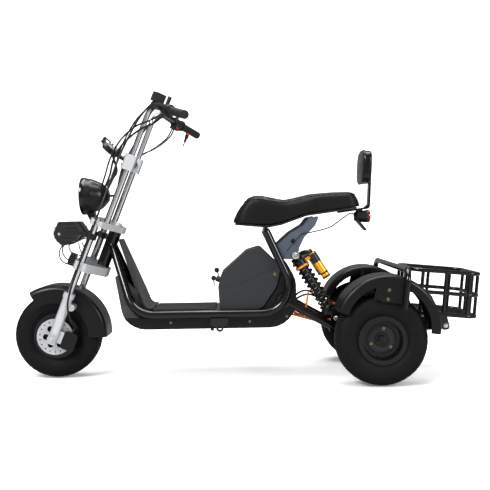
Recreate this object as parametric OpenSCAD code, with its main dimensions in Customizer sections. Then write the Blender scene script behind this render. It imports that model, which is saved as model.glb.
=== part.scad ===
/* [Wheels] */
// Distance between the front and rear axles
wheelbase = 1300; // [1260:1:1360]
// Distance between the middles of the two rear tyres
track = 530; // [520:1:560]
// Outside diameter of every tyre
tyre_d = 356; // [346:1:362]
// Width of a tyre at its widest
tyre_w = 140; // [130:1:144]
// Diameter of the rim's lip
lip_d = 186; // [178:1:196]
// Diameter of the front axle
axle_d = 16; // [12:0.5:18]
// Diameter of each rear drive shaft
shaft_d = 25; // [20:0.5:28]
// Diameter of the front brake disc
disc_d = 148; // [140:1:154]
// Thickness of the front brake disc
disc_t = 4; // [3:0.5:5]

/* [Fork and steering] */
// Lean of the steering axis from upright, in degrees
rake = 22; // [20:0.5:24]
// How far the steering axis lies behind the fork legs
fork_offset = 67; // [62:1:72]
// Distance between the two fork legs
leg_gap = 236; // [230:1:244]
// Diameter of the cast lower fork legs
leg_d = 40; // [36:1:42]
// Diameter of the bright upper fork tubes
fork_tube_d = 28; // [25:0.5:30]
// Diameter of the steering stem
stem_d = 30; // [26:0.5:32]
// Height of the lower fork clamp along the fork
lower_clamp_w = 296; // [288:1:300]
// Height of the upper fork clamp along the fork
upper_clamp_w = 488; // [484:1:500]
// Thickness of the upper fork clamp
upper_clamp_t = 25; // [20:1:28]
// Thickness of the lower fork clamp
lower_clamp_t = 36; // [30:1:38]

/* [Handlebar] */
// Height of the bar clamp along the fork
bar_clamp_w = 742; // [720:1:760]
// Distance between the two riser tubes
riser_gap = 180; // [170:1:190]
// Diameter of the riser tubes
riser_d = 25.4; // [24:0.1:27]
// Diameter of the bent bars
bar_d = 22.2; // [21:0.1:23]
// Width of the handlebar over its ends
bar_span = 720; // [680:1:740]
// Height of the bars' bend along the fork
bar_top_w = 1020; // [1000:1:1030]
// Diameter of the hand grips
grip_d = 33; // [30:0.5:36]
// Length of the hand grips
grip_len = 132; // [120:1:140]

/* [Lamps and gauge] */
// Outside diameter of the headlamp
headlamp_d = 150; // [140:1:154]
// Depth of the headlamp's bowl
headlamp_depth = 110; // [100:1:116]
// Diameter of the round gauge
gauge_d = 88; // [80:1:92]
// Width of one driving lamp
aux_w = 70; // [64:1:74]

/* [Frame] */
// Distance between the two frame tubes
frame_gap = 270; // [262:1:280]
// Diameter of the frame tubes
frame_d = 32; // [28:1:34]
// Bend radius of the frame tubes
frame_bend = 112; // [106:1:116]
// Height of the frame's lower run above the floor
frame_z = 266; // [262:1:272]
// Height of the floor body's underside above the floor
belly_z = 205; // [200:1:212]
// Thickness of the rubber deck mat
mat_t = 6; // [4:0.5:8]
// Wall of the moulded covers
cover_t = 4; // [3:0.5:5]

/* [Battery box] */
// Width of the battery box
box_w = 216; // [206:1:218]
// Width of the battery block
pack_w = 190; // [170:1:196]

/* [Seat] */
// Width of the seat over its back half
seat_w = 256; // [244:1:268]
// Thickness of the seat pan
pan_t = 8; // [6:0.5:10]
// Thickness of the seat's side plates
plate_t = 5; // [4:0.5:6]
// Width of the backrest pad
back_w = 190; // [180:1:200]
// Height of the backrest pad
back_h = 138; // [130:1:144]
// Thickness of the backrest pad
back_t = 40; // [34:1:44]
// Width of the backrest's strap
strap_w = 40; // [34:1:46]
// Thickness of the backrest's strap
strap_t = 8; // [6:0.5:10]

/* [Rear end] */
// Diameter of the swing arm's tubes
arm_d = 34; // [30:1:36]
// Diameter of the axle tubes
axle_tube_d = 52; // [48:1:56]
// Diameter of the drive motor
motor_d = 190; // [170:1:196]
// Width of the drive motor
motor_w = 156; // [146:1:158]
// Outside radius of the rear mudguards
guard_r = 200; // [196:1:206]
// Width of the rear mudguards
guard_w = 164; // [162:1:170]
// Thickness of the mudguards
guard_t = 4; // [3:0.5:5]
// Wire diameter of the shock springs
spring_wire = 8.4; // [7:0.2:9]
// Mean diameter of the shock springs
spring_mean_d = 48; // [46:0.5:50]
// Number of turns in a shock spring
spring_turns = 9; // [7:1:11]

/* [Rack and basket] */
// Diameter of the rack hoop's tube
hoop_d = 22; // [20:0.5:24]
// Distance of the rack hoop's legs outside the middle of the rear tyres
hoop_reach = 95; // [93:1:105]
// Distance from the rear axle to the back of the basket
rear_overhang = 434; // [425:1:460]
// Length of the basket
basket_len = 292; // [284:1:300]
// Width of the basket
basket_w = 300; // [280:1:310]
// Depth of the basket
basket_h = 172; // [165:1:180]
// Slope of the basket towards the back, in degrees
basket_tilt = 5.5; // [4:0.5:7]
// Diameter of the basket's rails
rail_d = 16; // [14:0.5:18]
// Diameter of the basket's posts
post_d = 14; // [12:0.5:15]

/* [Hidden] */
$fn = 48;
arc_step = 15;
fit_gap = 0.1;
run_gap = 0.05;
seat_gap = 0.3;
sleeve = 0.6;
tyre_r = tyre_d / 2;
overall_len = tyre_r + wheelbase + rear_overhang;
front_x = tyre_r - overall_len / 2;
rear_x = front_x + wheelbase;
axle_z = tyre_r;

// Wheel sections
lip_r = lip_d / 2;
lip_t = 5;
rim_half = tyre_w / 2 - 8;
barrel_r = lip_r - 9;
barrel_t = 8;
bead_half = rim_half - lip_t - fit_gap;

// Steering frame: x points back from the fork legs, z runs up along the fork
leg_y = leg_gap / 2;
leg_top_w = 192;
head_low_w = lower_clamp_w + lower_clamp_t + 2;
head_high_w = upper_clamp_w - 2;
head_d = stem_d + 22;
riser_u = 34;
riser_y = riser_gap / 2;
clamp_h = 64;
bar_half = bar_span / 2;
disc_y = leg_y - leg_d / 2 - 12;
hub_r = 30;

// Frame route seen from the side, as corners of the bent tube
frame_y = frame_gap / 2;
head_base = [front_x, 0, axle_z];
foot_x = front_x + 332;
heel_x = front_x + 1019;
head_pt = steer_pt([fork_offset + 8, 0, upper_clamp_w - 58]);
seat_post_x = heel_x - 149;
seat_post_z = frame_z + 330;
rear_bend_pt = [heel_x - frame_bend * 1.55, frame_z + frame_bend];
body_half = frame_y - frame_d / 2 - 0.5;
deck_z = frame_z + 20;
mat_half = body_half - 3;

// Seat and shock places
seat_x = heel_x - 241;
seat_z = frame_z + 350;
box_x = seat_x - 101;
box_z = deck_z - mat_t + seat_gap;
eye_w = 24;
shock_y = frame_y - frame_d / 2 - seat_gap - plate_t - seat_gap - eye_w / 2;
eye_d = 28;
pin_d = 12;
shock_top = [heel_x - 32, frame_z + 231];
shock_low = [rear_x - 154, axle_z + 62];
shock_len = norm(shock_top - shock_low);
shock_lean = atan2(shock_low[0] - shock_top[0], shock_top[1] - shock_low[1]);

// Rear end places
hoop_span = track + 2 * hoop_reach;
pivot = [rear_bend_pt[0] + frame_bend * cos(35), rear_bend_pt[1] - frame_bend * sin(35)];
pivot_d = 36;
ear_t = 4;
arm_room = 4;
arm_y = shock_y;
knee = [rear_x - 122, axle_z + 2];
arm_end = [rear_x + 290, axle_z + 24];
axle_tube_end = track / 2 - tyre_w / 2 - 17;
guard_c = [rear_x + 19, axle_z + 50];
guard_y = track / 2;
basket_back = rear_x + rear_overhang - rail_d / 2;
basket_top_z = axle_z + 230;

// Vector and outline helpers
function unit(v) = v / norm(v);
function mirror_y(p) = [p[0], -p[1], p[2]];
// A point of the steering frame in the scooter's frame
function steer_pt(p) = [front_x + p[0] * cos(rake) + p[2] * sin(rake), p[1],
    axle_z - p[0] * sin(rake) + p[2] * cos(rake)];
// Arc that rounds corner q between p and s, or the corner itself
function corner_pts(p, q, s, r) =
    let (o = [q[0], q[1]], u = unit([p[0], p[1]] - o), v = unit([s[0], s[1]] - o))
    let (half = acos(u * v) / 2, c = o + unit(u + v) * r / sin(half), t = r / tan(half))
    let (a = o + u * t - c, b = o + v * t - c, a0 = atan2(a[1], a[0]), a1 = atan2(b[1], b[0]))
    let (turn = (a1 - a0 + 540) % 360 - 180, n = max(2, ceil(abs(turn) / arc_step)))
    r <= 0 ? [o] : [for (i = [0 : n]) c + r * [cos(a0 + turn * i / n), sin(a0 + turn * i / n)]];
// Closed outline from corners given as [x, y, rounding radius]
function outline(k) = [for (i = [0 : len(k) - 1])
    each corner_pts(k[(i + len(k) - 1) % len(k)], k[i], k[(i + 1) % len(k)], k[i][2])];
function flip(k) = [for (i = [len(k) - 1 : -1 : 0]) [k[i][0], -k[i][1], k[i][2]]];

module steer() {
    translate([front_x, 0, axle_z]) rotate([0, rake, 0]) children();
}

module both_sides() {
    children();
    mirror([0, 1, 0]) children();
}

// Flat piece with an outline in the side view, from y0 to y1
module side_slab(corners, y0, y1) {
    translate([0, y1, 0]) rotate([90, 0, 0]) linear_extrude(y1 - y0) polygon(outline(corners));
}

// Round bar between two points
module rod(a, b, d) {
    v = b - a;
    translate(a) rotate([0, acos(v[2] / norm(v)), atan2(v[1], v[0])]) cylinder(h = norm(v), d = d);
}

// Quarter of a ring that carries a bar round corner q
module elbow(p, q, s, r, d) {
    u = unit(q - p);
    v = unit(s - q);
    turn = acos(u * v);
    c = q + unit(v - u) * r / cos(turn / 2);
    x = unit(q - u * r * tan(turn / 2) - c);
    z = cross(x, u);
    multmatrix([[x[0], u[0], z[0], c[0]], [x[1], u[1], z[1], c[1]], [x[2], u[2], z[2], c[2]], [0, 0, 0,
        1]])
        rotate_extrude(angle = turn) translate([r, 0]) circle(d = d);
}

// Length that an elbow takes from each straight run at corner q
function trim(p, q, s, r) = r * tan(acos(unit(q - p) * unit(s - q)) / 2);

// Bent tube through points, with one bend radius for every inner point
module bent_tube(pts, radii, d) {
    last = len(pts) - 1;
    for (i = [0 : last - 1]) {
        u = unit(pts[i + 1] - pts[i]);
        a = i == 0 ? 0 : trim(pts[i - 1], pts[i], pts[i + 1], radii[i - 1]);
        b = i == last - 1 ? 0 : trim(pts[i], pts[i + 1], pts[i + 2], radii[i]);
        from = a - (i == 0 ? 0 : sqrt(radii[i - 1] * sleeve / 2));
        to = b - (i == last - 1 ? 0 : sqrt(radii[i] * sleeve / 2));
        rod(pts[i] + u * from, pts[i + 1] - u * to, d);
    }
    for (i = [1 : 1 : last - 1])
        elbow(pts[i - 1], pts[i], pts[i + 1], radii[i - 1], d + sleeve);
}

// Tube with one bend, laid out in its own plane; the runs reach a little way into the bend's sleeve
module one_bend(p, q, s, r, d) {
    u = unit(q - p);
    v = unit(s - q);
    turn = acos(u * v);
    t = r * tan(turn / 2);
    into = sqrt(r * sleeve / 2);
    n = unit(v - (v * u) * u);
    z = cross(u, n);
    multmatrix([[u[0], n[0], z[0], q[0]], [u[1], n[1], z[1], q[1]], [u[2], n[2], z[2], q[2]], [0, 0, 0,
        1]]) {
        translate([-norm(q - p), 0, 0]) rotate([0, 90, 0]) cylinder(h = norm(q - p) - t + into, d = d);
        translate([-t, r, 0]) rotate([0, 0, -90]) rotate_extrude(angle = turn) translate([r, 0])
            circle(d = d + sleeve);
        rotate([0, 0, turn]) translate([t - into, 0, 0]) rotate([0, 90, 0])
            cylinder(h = norm(s - q) - t + into, d = d);
    }
}

// Swept cable: rings of sides points along a route, closed at both ends
function ring_at(p, t, side, r, sides) = let (n = unit(cross(t, side)), m = cross(n, t))
    [for (j = [0 : sides - 1]) p + r * (cos(360 * j / sides) * n + sin(360 * j / sides) * m)];
module sweep(route, side, r, sides) {
    last = len(route) - 1;
    rings = [for (i = [0 : last])
        each ring_at(route[i], unit(route[min(i + 1, last)] - route[max(i - 1, 0)]), side, r, sides)];
    walls = [for (i = [0 : last - 1], j = [0 : sides - 1]) let (k = (j + 1) % sides)
        [i * sides + j, i * sides + k, (i + 1) * sides + k, (i + 1) * sides + j]];
    caps = [[for (j = [sides - 1 : -1 : 0]) j], [for (j = [0 : sides - 1]) last * sides + j]];
    polyhedron(points = rings, faces = concat(walls, caps));
}
// Smooth route through hand-chosen points
function catmull(a, b, c, d, t) = 0.5 * (2 * b + (c - a) * t + (2 * a - 5 * b + 4 * c - d) * t * t
    + (3 * b - a - 3 * c + d) * t * t * t);
function smooth(k, n) = let (e = len(k) - 1)
    [for (i = [0 : e - 1], s = [0 : n - 1]) catmull(k[max(i - 1, 0)], k[i], k[i + 1], k[min(i + 2, e)],
        s / n),
    k[e]];

// Ring turned about a sideways axis; the profile's second value points to the left of the scooter
module turned(profile) {
    rotate([90, 0, 0]) rotate_extrude() polygon(profile);
}

// Frame

// Left frame tube: the front half leans in towards the head, the back half stays upright
module frame_side() {
    mid = (foot_x + heel_x) / 2 - 60;
    up = head_pt - [foot_x, -frame_y + head_d / 4, frame_z];
    translate([foot_x, -frame_y, frame_z]) rotate([atan2(-up[1], up[2]), 0, 0])
        one_bend([mid - 5 - foot_x, 0, 0], [0, 0, 0], [up[0], 0, norm([up[1], up[2]])], frame_bend,
            frame_d);
    one_bend([mid + 5, -frame_y, frame_z], [heel_x, -frame_y, frame_z], [seat_post_x, -frame_y,
        seat_post_z],
        frame_bend, frame_d);
    // Sleeve that joins the two bent lengths
    rod([mid - 22, -frame_y, frame_z], [mid + 22, -frame_y, frame_z], frame_d + sleeve);
}

cross_tubes = [[foot_x + 66, frame_z], [heel_x - 186, frame_z], [seat_post_x + 2, seat_z + 1.7 - pan_t
    - seat_gap - 12]];

module main_frame() {
    color([0.03, 0.03, 0.03]) difference() {
        union() {
            both_sides() frame_side();
            for (c = cross_tubes)
                rod([c[0], -frame_y, c[1]], [c[0], frame_y, c[1]], 24);
            rod([pivot[0], -frame_y, pivot[1]], [pivot[0], frame_y, pivot[1]], pivot_d);
            steer() translate([fork_offset, 0, head_low_w]) cylinder(h = head_high_w - head_low_w,
                d = head_d);
        }
        steer() translate([fork_offset, 0, head_low_w - 1])
            cylinder(h = head_high_w - head_low_w + 2, d = stem_d + 2 * run_gap);
    }
}

// Moulded floor body between the frame tubes, from the nose up to the tail
module belly_pan() {
    nose_x = foot_x - 88;
    tail_x = heel_x - 31;
    color([0.10, 0.10, 0.11]) difference() {
        side_slab([[nose_x, frame_z + 152, 6], [foot_x - 36, belly_z, 105], [tail_x, belly_z, 110],
            [tail_x, frame_z + 132, 90], [tail_x - 40, frame_z + 206, 4], [tail_x - 52, frame_z + 188, 4],
            [tail_x - 73, frame_z + 104, 25], [tail_x - 135, deck_z - mat_t, 34],
            [foot_x + 30, deck_z - mat_t, 10], [nose_x + 20, frame_z + 156, 6]], -body_half, body_half);
        // The frame's own cross tubes pass through
        for (c = cross_tubes)
            rod([c[0], -frame_y, c[1]], [c[0], frame_y, c[1]], 24 + 2 * seat_gap);
        // Both cheeks draw in at the front, clear of the tubes
        both_sides() translate([foot_x + 90, 0, 0]) rotate([90, 0, -90]) linear_extrude(200)
            polygon([[body_half + 1, frame_z - 20], [body_half - 1, frame_z - 12], [body_half - 22,
                frame_z + 34],
                [body_half - 62, frame_z + 130], [30, frame_z + 180], [body_half + 1, frame_z + 180]]);
        // Pocket for the swing arm, open to the back
        side_slab([[pivot[0] - 42, belly_z + cover_t, 0], [tail_x + 5, belly_z + cover_t, 0],
            [tail_x + 5, frame_z + 110, 0],
            [pivot[0] - 6, frame_z + 110, 0], [pivot[0] - 42, frame_z + 8, 0]],
            cover_t - body_half, body_half - cover_t);
        // Slots in both sides for the swing arm and its pivot
        both_sides() {
            translate([pivot[0], 0, pivot[1]]) rotate([90, 0, 0])
                translate([0, 0, arm_y - arm_d / 2 - 2 * arm_room])
                cylinder(h = arm_d + 4 * arm_room, d = pivot_d + 20 + 2 * arm_room);
            rod([pivot[0], -arm_y, pivot[1]], [knee[0], -arm_y, knee[1]], arm_d + 2 * arm_room);
        }
    }
}

// Panel that the rider's knees face, tapering up to the steering head
module leg_shield() {
    top = steer_pt([fork_offset + head_d / 2 + seat_gap, 0, head_high_w - 24]);
    color([0.13, 0.13, 0.14]) intersection() {
        side_slab([[top[0], top[2], 4], [foot_x + 38, deck_z + 1, 34], [foot_x + 74, deck_z + 1, 0],
            [foot_x + 74, deck_z + 5, 0], [foot_x + 46, deck_z + 5, 30], [top[0] + 14, top[2], 4]],
            -body_half, body_half);
        rotate([90, 0, 90]) translate([0, 0, foot_x - 150]) linear_extrude(300)
            polygon(outline([[-body_half, deck_z - 5, 0], [body_half, deck_z - 5, 0], [body_half,
                deck_z + 60, 60],
                [34, top[2] + 5, 0], [-34, top[2] + 5, 0], [-body_half, deck_z + 60, 60]]));
    }
}

module deck_mat() {
    color([0.05, 0.05, 0.05])
        translate([foot_x + 76, -mat_half, deck_z - mat_t + seat_gap])
        cube([box_x - foot_x - 94, 2 * mat_half, mat_t]);
}

// Battery box

split = [[box_x - 5, box_z + 94], [box_x + 36, box_z + 86], [box_x + 251, box_z + 170]];
hinge = [box_x + 249, box_z + 176];
lock_y = 70;
hinge_y = 90;
hinge_d = 9;

module battery_box() {
    half = box_w / 2;
    color([0.11, 0.11, 0.12]) difference() {
        side_slab([[box_x, box_z, 4], [split[0][0], split[0][1], 0], [split[1][0], split[1][1], 20],
            [split[2][0], split[2][1], 0], [box_x + 232, box_z + 90, 30], [box_x + 170, box_z, 40]],
                -half, half);
        side_slab([[box_x + cover_t, box_z + cover_t, 0], [split[0][0] + cover_t, split[0][1] + 9, 0],
            [split[1][0], split[1][1] + 1, 0], [split[2][0] - 8, split[2][1] + 1, 0],
            [box_x + 224, box_z + 94, 26], [box_x + 166, box_z + cover_t, 36]], cover_t - half, half
                - cover_t);
    }
}

module battery_pack() {
    color([0.16, 0.17, 0.19])
        translate([box_x + 16, -pack_w / 2, box_z + cover_t]) cube([128, pack_w, 126]);
}

// Upper half of the box, hinged at its back edge, with its lock in the slope
module battery_lid() {
    half = box_w / 2;
    gap = 0.6;
    color([0.10, 0.10, 0.11]) {
        difference() {
            side_slab([[split[0][0], split[0][1] + gap, 0], [box_x + 9, box_z + 146, 14],
                [box_x + 112, box_z + 236, 20], [box_x + 168, box_z + 252, 20],
                [split[2][0], split[2][1] + gap, 0], [split[1][0], split[1][1] + gap, 20]], -half,
                    half);
            side_slab([[split[0][0] + cover_t, split[0][1] - 9, 0], [box_x + 13, box_z + 143, 12],
                [box_x + 114, box_z + 231, 18], [box_x + 166, box_z + 246, 18],
                [split[2][0] - 8, split[2][1] - 2, 0], [split[1][0], split[1][1] - 9, 0]],
                cover_t - half, half - cover_t);
        }
        rod([box_x + 8, -lock_y, box_z + 118], [box_x - 14, -lock_y, box_z + 124], 24);
        // Hinge barrel along the back edge
        rod([hinge[0], -hinge_y, hinge[1]], [hinge[0], hinge_y, hinge[1]], hinge_d);
    }
}

// Seat

// Underside of the cushion, from its nose to its back
seat_base = [[-8, 14, 0], [126, 1, 30], [181, 11, 40], [281, 46, 60], [486, 72, 0]];
function seat_pts(k, dz) = [for (p = k) [seat_x + p[0] - 25, seat_z + p[1] + dz, p[2]]];
function reversed(k) = [for (i = [len(k) - 1 : -1 : 0]) k[i]];

module seat_plan(grow) {
    half = [[-40, 78, 40], [40, 116, 70], [160, 104, 120], [290, seat_w / 2, 90], [478, seat_w / 2
        - 14, 46]];
    side = [for (p = half) [seat_x + p[0], p[1] + grow, p[2]]];
    polygon(outline(concat(side, flip(side))));
}

module seat_pan() {
    color([0.04, 0.04, 0.04]) intersection() {
        side_slab(concat(seat_pts(seat_base, -pan_t), reversed(seat_pts(seat_base, 0))), -200, 200);
        translate([0, 0, seat_z - 50]) linear_extrude(250) seat_plan(-6);
    }
}

module seat_cushion() {
    top = [[500, 78, 10], [474, 128, 20], [300, 124, 70], [196, 98, 120], [96, 121, 50], [48, 119, 30],
        [10, 84, 24], [-13, 17, 0]];
    color([0.06, 0.06, 0.06]) intersection() {
        side_slab(concat(seat_pts(seat_base, seat_gap), seat_pts(top, 0)), -200, 200);
        translate([0, 0, seat_z - 50]) linear_extrude(250) seat_plan(0);
    }
}

// Plates that carry the seat's back half and the shocks' upper eyes
plate_y = frame_y - frame_d / 2 - seat_gap;
module seat_brackets() {
    color([0.35, 0.38, 0.42]) both_sides() difference() {
        side_slab([[heel_x - 106, frame_z + 272, 10], [heel_x - 83, frame_z + 216, 10],
            [heel_x - 24, frame_z + 214, 14], [heel_x - 16, frame_z + 262, 30], [heel_x + 6, frame_z
                + 304, 30],
            [heel_x + 50, frame_z + 350, 20], [heel_x + 66, frame_z + 388.5, 6], [heel_x + 26, frame_z
                + 381.5, 6],
            [heel_x + 2, frame_z + 352, 20], [heel_x - 52, frame_z + 320, 30]], -plate_y, plate_t
                - plate_y);
        translate([shock_top[0], 0, shock_top[1]]) rotate([90, 0, 0])
            cylinder(h = plate_y + 5, d = pin_d + 2 * fit_gap);
    }
}

back_x = seat_x + 486;
back_z = seat_z + 165;
back_rise = seat_z + 82;
strap_lean = 3.3;
// Underside of the seat pan along its sloping back half
function pan_low(x) = seat_z + 46 + 26 * (x - seat_x - 256) / 205 - pan_t;
module backrest_bar() {
    low = pan_low(seat_x + 395) - seat_gap;
    turn = pan_low(back_x + 42) - seat_gap;
    lean = 170 * tan(strap_lean);
    color([0.05, 0.05, 0.05])
        side_slab([[seat_x + 395, low - strap_t, 2], [back_x + 42, turn - strap_t, 16],
            [back_x + 42 + lean, back_rise + 170, 0], [back_x + 42 + lean - strap_t, back_rise + 170,
                0],
            [back_x + 42 - strap_t, back_rise, 8], [back_x + 26 - strap_t, turn - 3.2, 8], [seat_x
                + 395, low, 2]],
            -strap_w / 2, strap_w / 2);
}

module backrest_pad() {
    color([0.06, 0.06, 0.06])
        translate([back_x + 42 - strap_t - seat_gap + (back_z - back_rise) * tan(strap_lean), 0,
            back_z])
        rotate([0, strap_lean, 0]) rotate([90, 0, -90]) linear_extrude(back_t)
        polygon(outline([[-back_w / 2, 0, 34], [back_w / 2, 0, 34],
        [back_w / 2 - 8, back_h, 44], [8 - back_w / 2, back_h, 44]]));
}

// Round lamp that hangs under the strap, with a flap below it
module tail_lamp() {
    x = back_x - 22;
    z = pan_low(back_x) - strap_t - 27;
    color([0.45, 0.45, 0.47]) {
        translate([x, 0, z]) rotate([0, 90, 0]) rotate_extrude() polygon([[0, 0], [17, 0], [23, 10],
            [25, 44], [25, 58],
            [0, 62]]);
        side_slab([[x + 8, z, 0], [x + 34, z, 0], [x + 34, pan_low(x + 34) - strap_t - 2 * seat_gap, 0],
            [x + 8, pan_low(x + 8) - strap_t - 2 * seat_gap, 0]], -10, 10);
        side_slab([[x + 2, z - 12, 4], [x + 14, z - 12, 4], [x + 50, z - 56, 4], [x + 42, z - 60, 4]],
            -28, 28);
    }
}

// Rear end

module arm_route_tube() {
    bent_tube([[pivot[0], -arm_y, pivot[1]], [knee[0], -arm_y, knee[1]], [arm_end[0], -arm_y,
        arm_end[1]]],
        [90], arm_d);
}

module rear_subframe() {
    color([0.04, 0.04, 0.04]) difference() {
        union() {
            both_sides() {
                arm_route_tube();
                translate([pivot[0], -arm_y - 15, pivot[1]]) rotate([-90, 0, 0]) cylinder(h = 30,
                    d = pivot_d + 20);
                rod([rear_x, -axle_tube_end, axle_z], [rear_x, -motor_w / 2 - seat_gap, axle_z],
                    axle_tube_d);
                // Ears for the shock's lower eye
                for (y = [-arm_y - eye_w / 2 - seat_gap - ear_t, -arm_y + eye_w / 2 + seat_gap])
                    side_slab([[shock_low[0] - 26, knee[1] + 4, 0], [shock_low[0] + 26, knee[1] - 6, 0],
                        [shock_low[0] + 13, shock_low[1] + 14, 12], [shock_low[0] - 13, shock_low[1]
                            + 14, 12]],
                        y, y + ear_t);
                // Post that carries the mudguard
                rod([rear_x, 12 - axle_tube_end, axle_z], [rear_x, 12 - axle_tube_end, axle_z + 238],
                    18);
                rod([rear_x, 12 - axle_tube_end, axle_z + 232],
                    [rear_x, guard_w / 2 + seat_gap - guard_y, axle_z + 232], 14);
            }
            rod([arm_end[0], -arm_y - arm_d / 2, arm_end[1]], [arm_end[0], arm_y + arm_d / 2,
                arm_end[1]], 30);
            rod([knee[0] - 20, -arm_y, knee[1] + 11], [knee[0] - 20, arm_y, knee[1] + 11], 26);
        }
        rod([pivot[0], -frame_y, pivot[1]], [pivot[0], frame_y, pivot[1]], pivot_d + 2 * fit_gap);
        both_sides() {
            rod([rear_x, -axle_tube_end - 5, axle_z], [rear_x, 0, axle_z], shaft_d + 2 * run_gap);
            rod([shock_low[0], -arm_y - 40, shock_low[1]], [shock_low[0], 40 - arm_y, shock_low[1]],
                pin_d + 2 * fit_gap);
        }
    }
}

module drive_motor() {
    r = motor_d / 2;
    h = motor_w / 2;
    color([0.2, 0.2, 0.21]) translate([rear_x, 0, axle_z])
        turned([[0, -h], [r - 30, -h], [r - 22, 14 - h], [r, 20 - h], [r, 32 - h], [r - 6, 34 - h],
            [r - 6, h - 34], [r, h - 32], [r, h - 20], [r - 22, h - 14], [r - 30, h], [0, h]]);
}

// Shock frame: z runs up from the lower eye to the upper eye
module shock() {
    translate([shock_low[0], -shock_y, shock_low[1]]) rotate([0, -shock_lean, 0]) children();
}

module eye(z) {
    translate([0, 0, z]) rotate([90, 0, 0]) translate([0, 0, -eye_w / 2]) cylinder(h = eye_w,
        d = eye_d);
}

spring_low = 36;
spring_high = shock_len - 58;
seat_d = spring_mean_d + spring_wire + 2;

module shock_dampers() {
    body_d = spring_mean_d - spring_wire - 4;
    out = plate_y + 7 - shock_y;
    ear = eye_w / 2 + seat_gap + 10;
    color([0.08, 0.08, 0.08]) both_sides() shock() {
        eye(0);
        eye(shock_len);
        cylinder(h = spring_high, d = 16);
        translate([0, 0, spring_low - 8]) cylinder(h = 8 - seat_gap, d = seat_d);
        translate([0, 0, 120]) cylinder(h = shock_len - 150, d = body_d);
        translate([0, 0, spring_high + seat_gap]) cylinder(h = 10, d = seat_d);
        translate([0, 0, spring_high + 10]) cylinder(h = 20, d = spring_mean_d);
        translate([0, 0, shock_len - 40]) cylinder(h = 36, d = eye_w - 2);
        rod([0, 0, shock_len], [0, -out, shock_len], pin_d);
        rod([0, -ear, 0], [0, ear, 0], pin_d);
    }
}

module shock_springs() {
    rings = 13;
    pitch = (spring_high - spring_low - spring_wire - 2) / spring_turns;
    route = [for (i = [0 : spring_turns * rings]) let (a = 360 * i / rings)
        [spring_mean_d / 2 * cos(a), spring_mean_d / 2 * sin(a), spring_low + spring_wire / 2 + 1
            + pitch * i / rings]];
    color([0.05, 0.05, 0.05]) both_sides() shock() sweep(route, [0, 0, 1], spring_wire / 2, 6);
}

reservoir_x = 60;
reservoir_d = 33;
module shock_reservoirs() {
    top = spring_high + 30;
    color([0.85, 0.5, 0.1]) both_sides() shock() {
        translate([reservoir_x, 0, spring_high - 88]) cylinder(h = top - spring_high + 88,
            d = reservoir_d);
        translate([spring_mean_d / 2 + seat_gap, -9, spring_high + 12])
            cube([reservoir_x - spring_mean_d / 2, 18, 18]);
    }
}

// Rear mudguard over the left wheel: an arched channel with a deep outer skirt
guard_from = -8;
guard_to = 161;
module mudguard() {
    h = guard_w / 2;
    outer = [[guard_r - 40, h, 0], [guard_r, h, 16], [guard_r, -h, 16], [guard_r - 30, -h, 0]];
    inner = [[guard_r - 30, guard_t - h, 0], [guard_r - guard_t, guard_t - h, 13], [guard_r - guard_t,
        h - guard_t, 13],
        [guard_r - 40, h - guard_t, 0]];
    translate([guard_c[0], -guard_y, guard_c[1]]) {
        rotate([0, -guard_from, 0]) rotate([90, 0, 0]) rotate_extrude(angle = guard_to - guard_from)
            polygon(outline(concat(outer, inner)));
        // Flat cheek that the rack hoop is fixed to
        side_slab([[-56, 108, 0], [-44, 110, 0], [-20, 98, 12], [40, 92, 12], [70, 96, 12], [74, 180,
            0],
            [-36, 188, 0]], -h, guard_t - h);
    }
}

module mudguard_left() {
    color([0.07, 0.07, 0.08]) mudguard();
}

module mudguard_right() {
    color([0.07, 0.07, 0.08]) mirror([0, 1, 0]) mudguard();
}

hoop_x = rear_x + 78;
hoop_z = axle_z + 266;
module rack_hoop() {
    y = hoop_span / 2;
    foot = [hoop_x, -y, axle_z + 126];
    top = [hoop_x + 16, -y, hoop_z];
    color([0.04, 0.04, 0.04]) {
        bent_tube([foot, top, mirror_y(top), mirror_y(foot)], [46, 46], hoop_d);
        both_sides() for (z = [30, 96])
            rod([hoop_x + 3 + z / 20, -y, foot[2] + z],
                [hoop_x + 3 + z / 20, -guard_y - guard_w / 2 - seat_gap, foot[2] + z], 14);
    }
}

// Basket frame: x runs forward from the top back rail, z is down from the top rail
module basket_frame() {
    translate([basket_back, 0, basket_top_z]) rotate([0, basket_tilt, 0]) children();
}

basket_corner = 44;
function basket_pt(p) = [basket_back + p[0] * cos(basket_tilt) + p[2] * sin(basket_tilt), p[1],
    basket_top_z - p[0] * sin(basket_tilt) + p[2] * cos(basket_tilt)];
module rail_loop(z, d) {
    y = basket_w / 2;
    l = basket_len - rail_d;
    pts = [[0, 0, z], [0, y, z], [-l, y, z], [-l, -y, z], [0, -y, z], [0, 0, z]];
    bent_tube(pts, [for (i = [0 : 3]) basket_corner], d);
}

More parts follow.
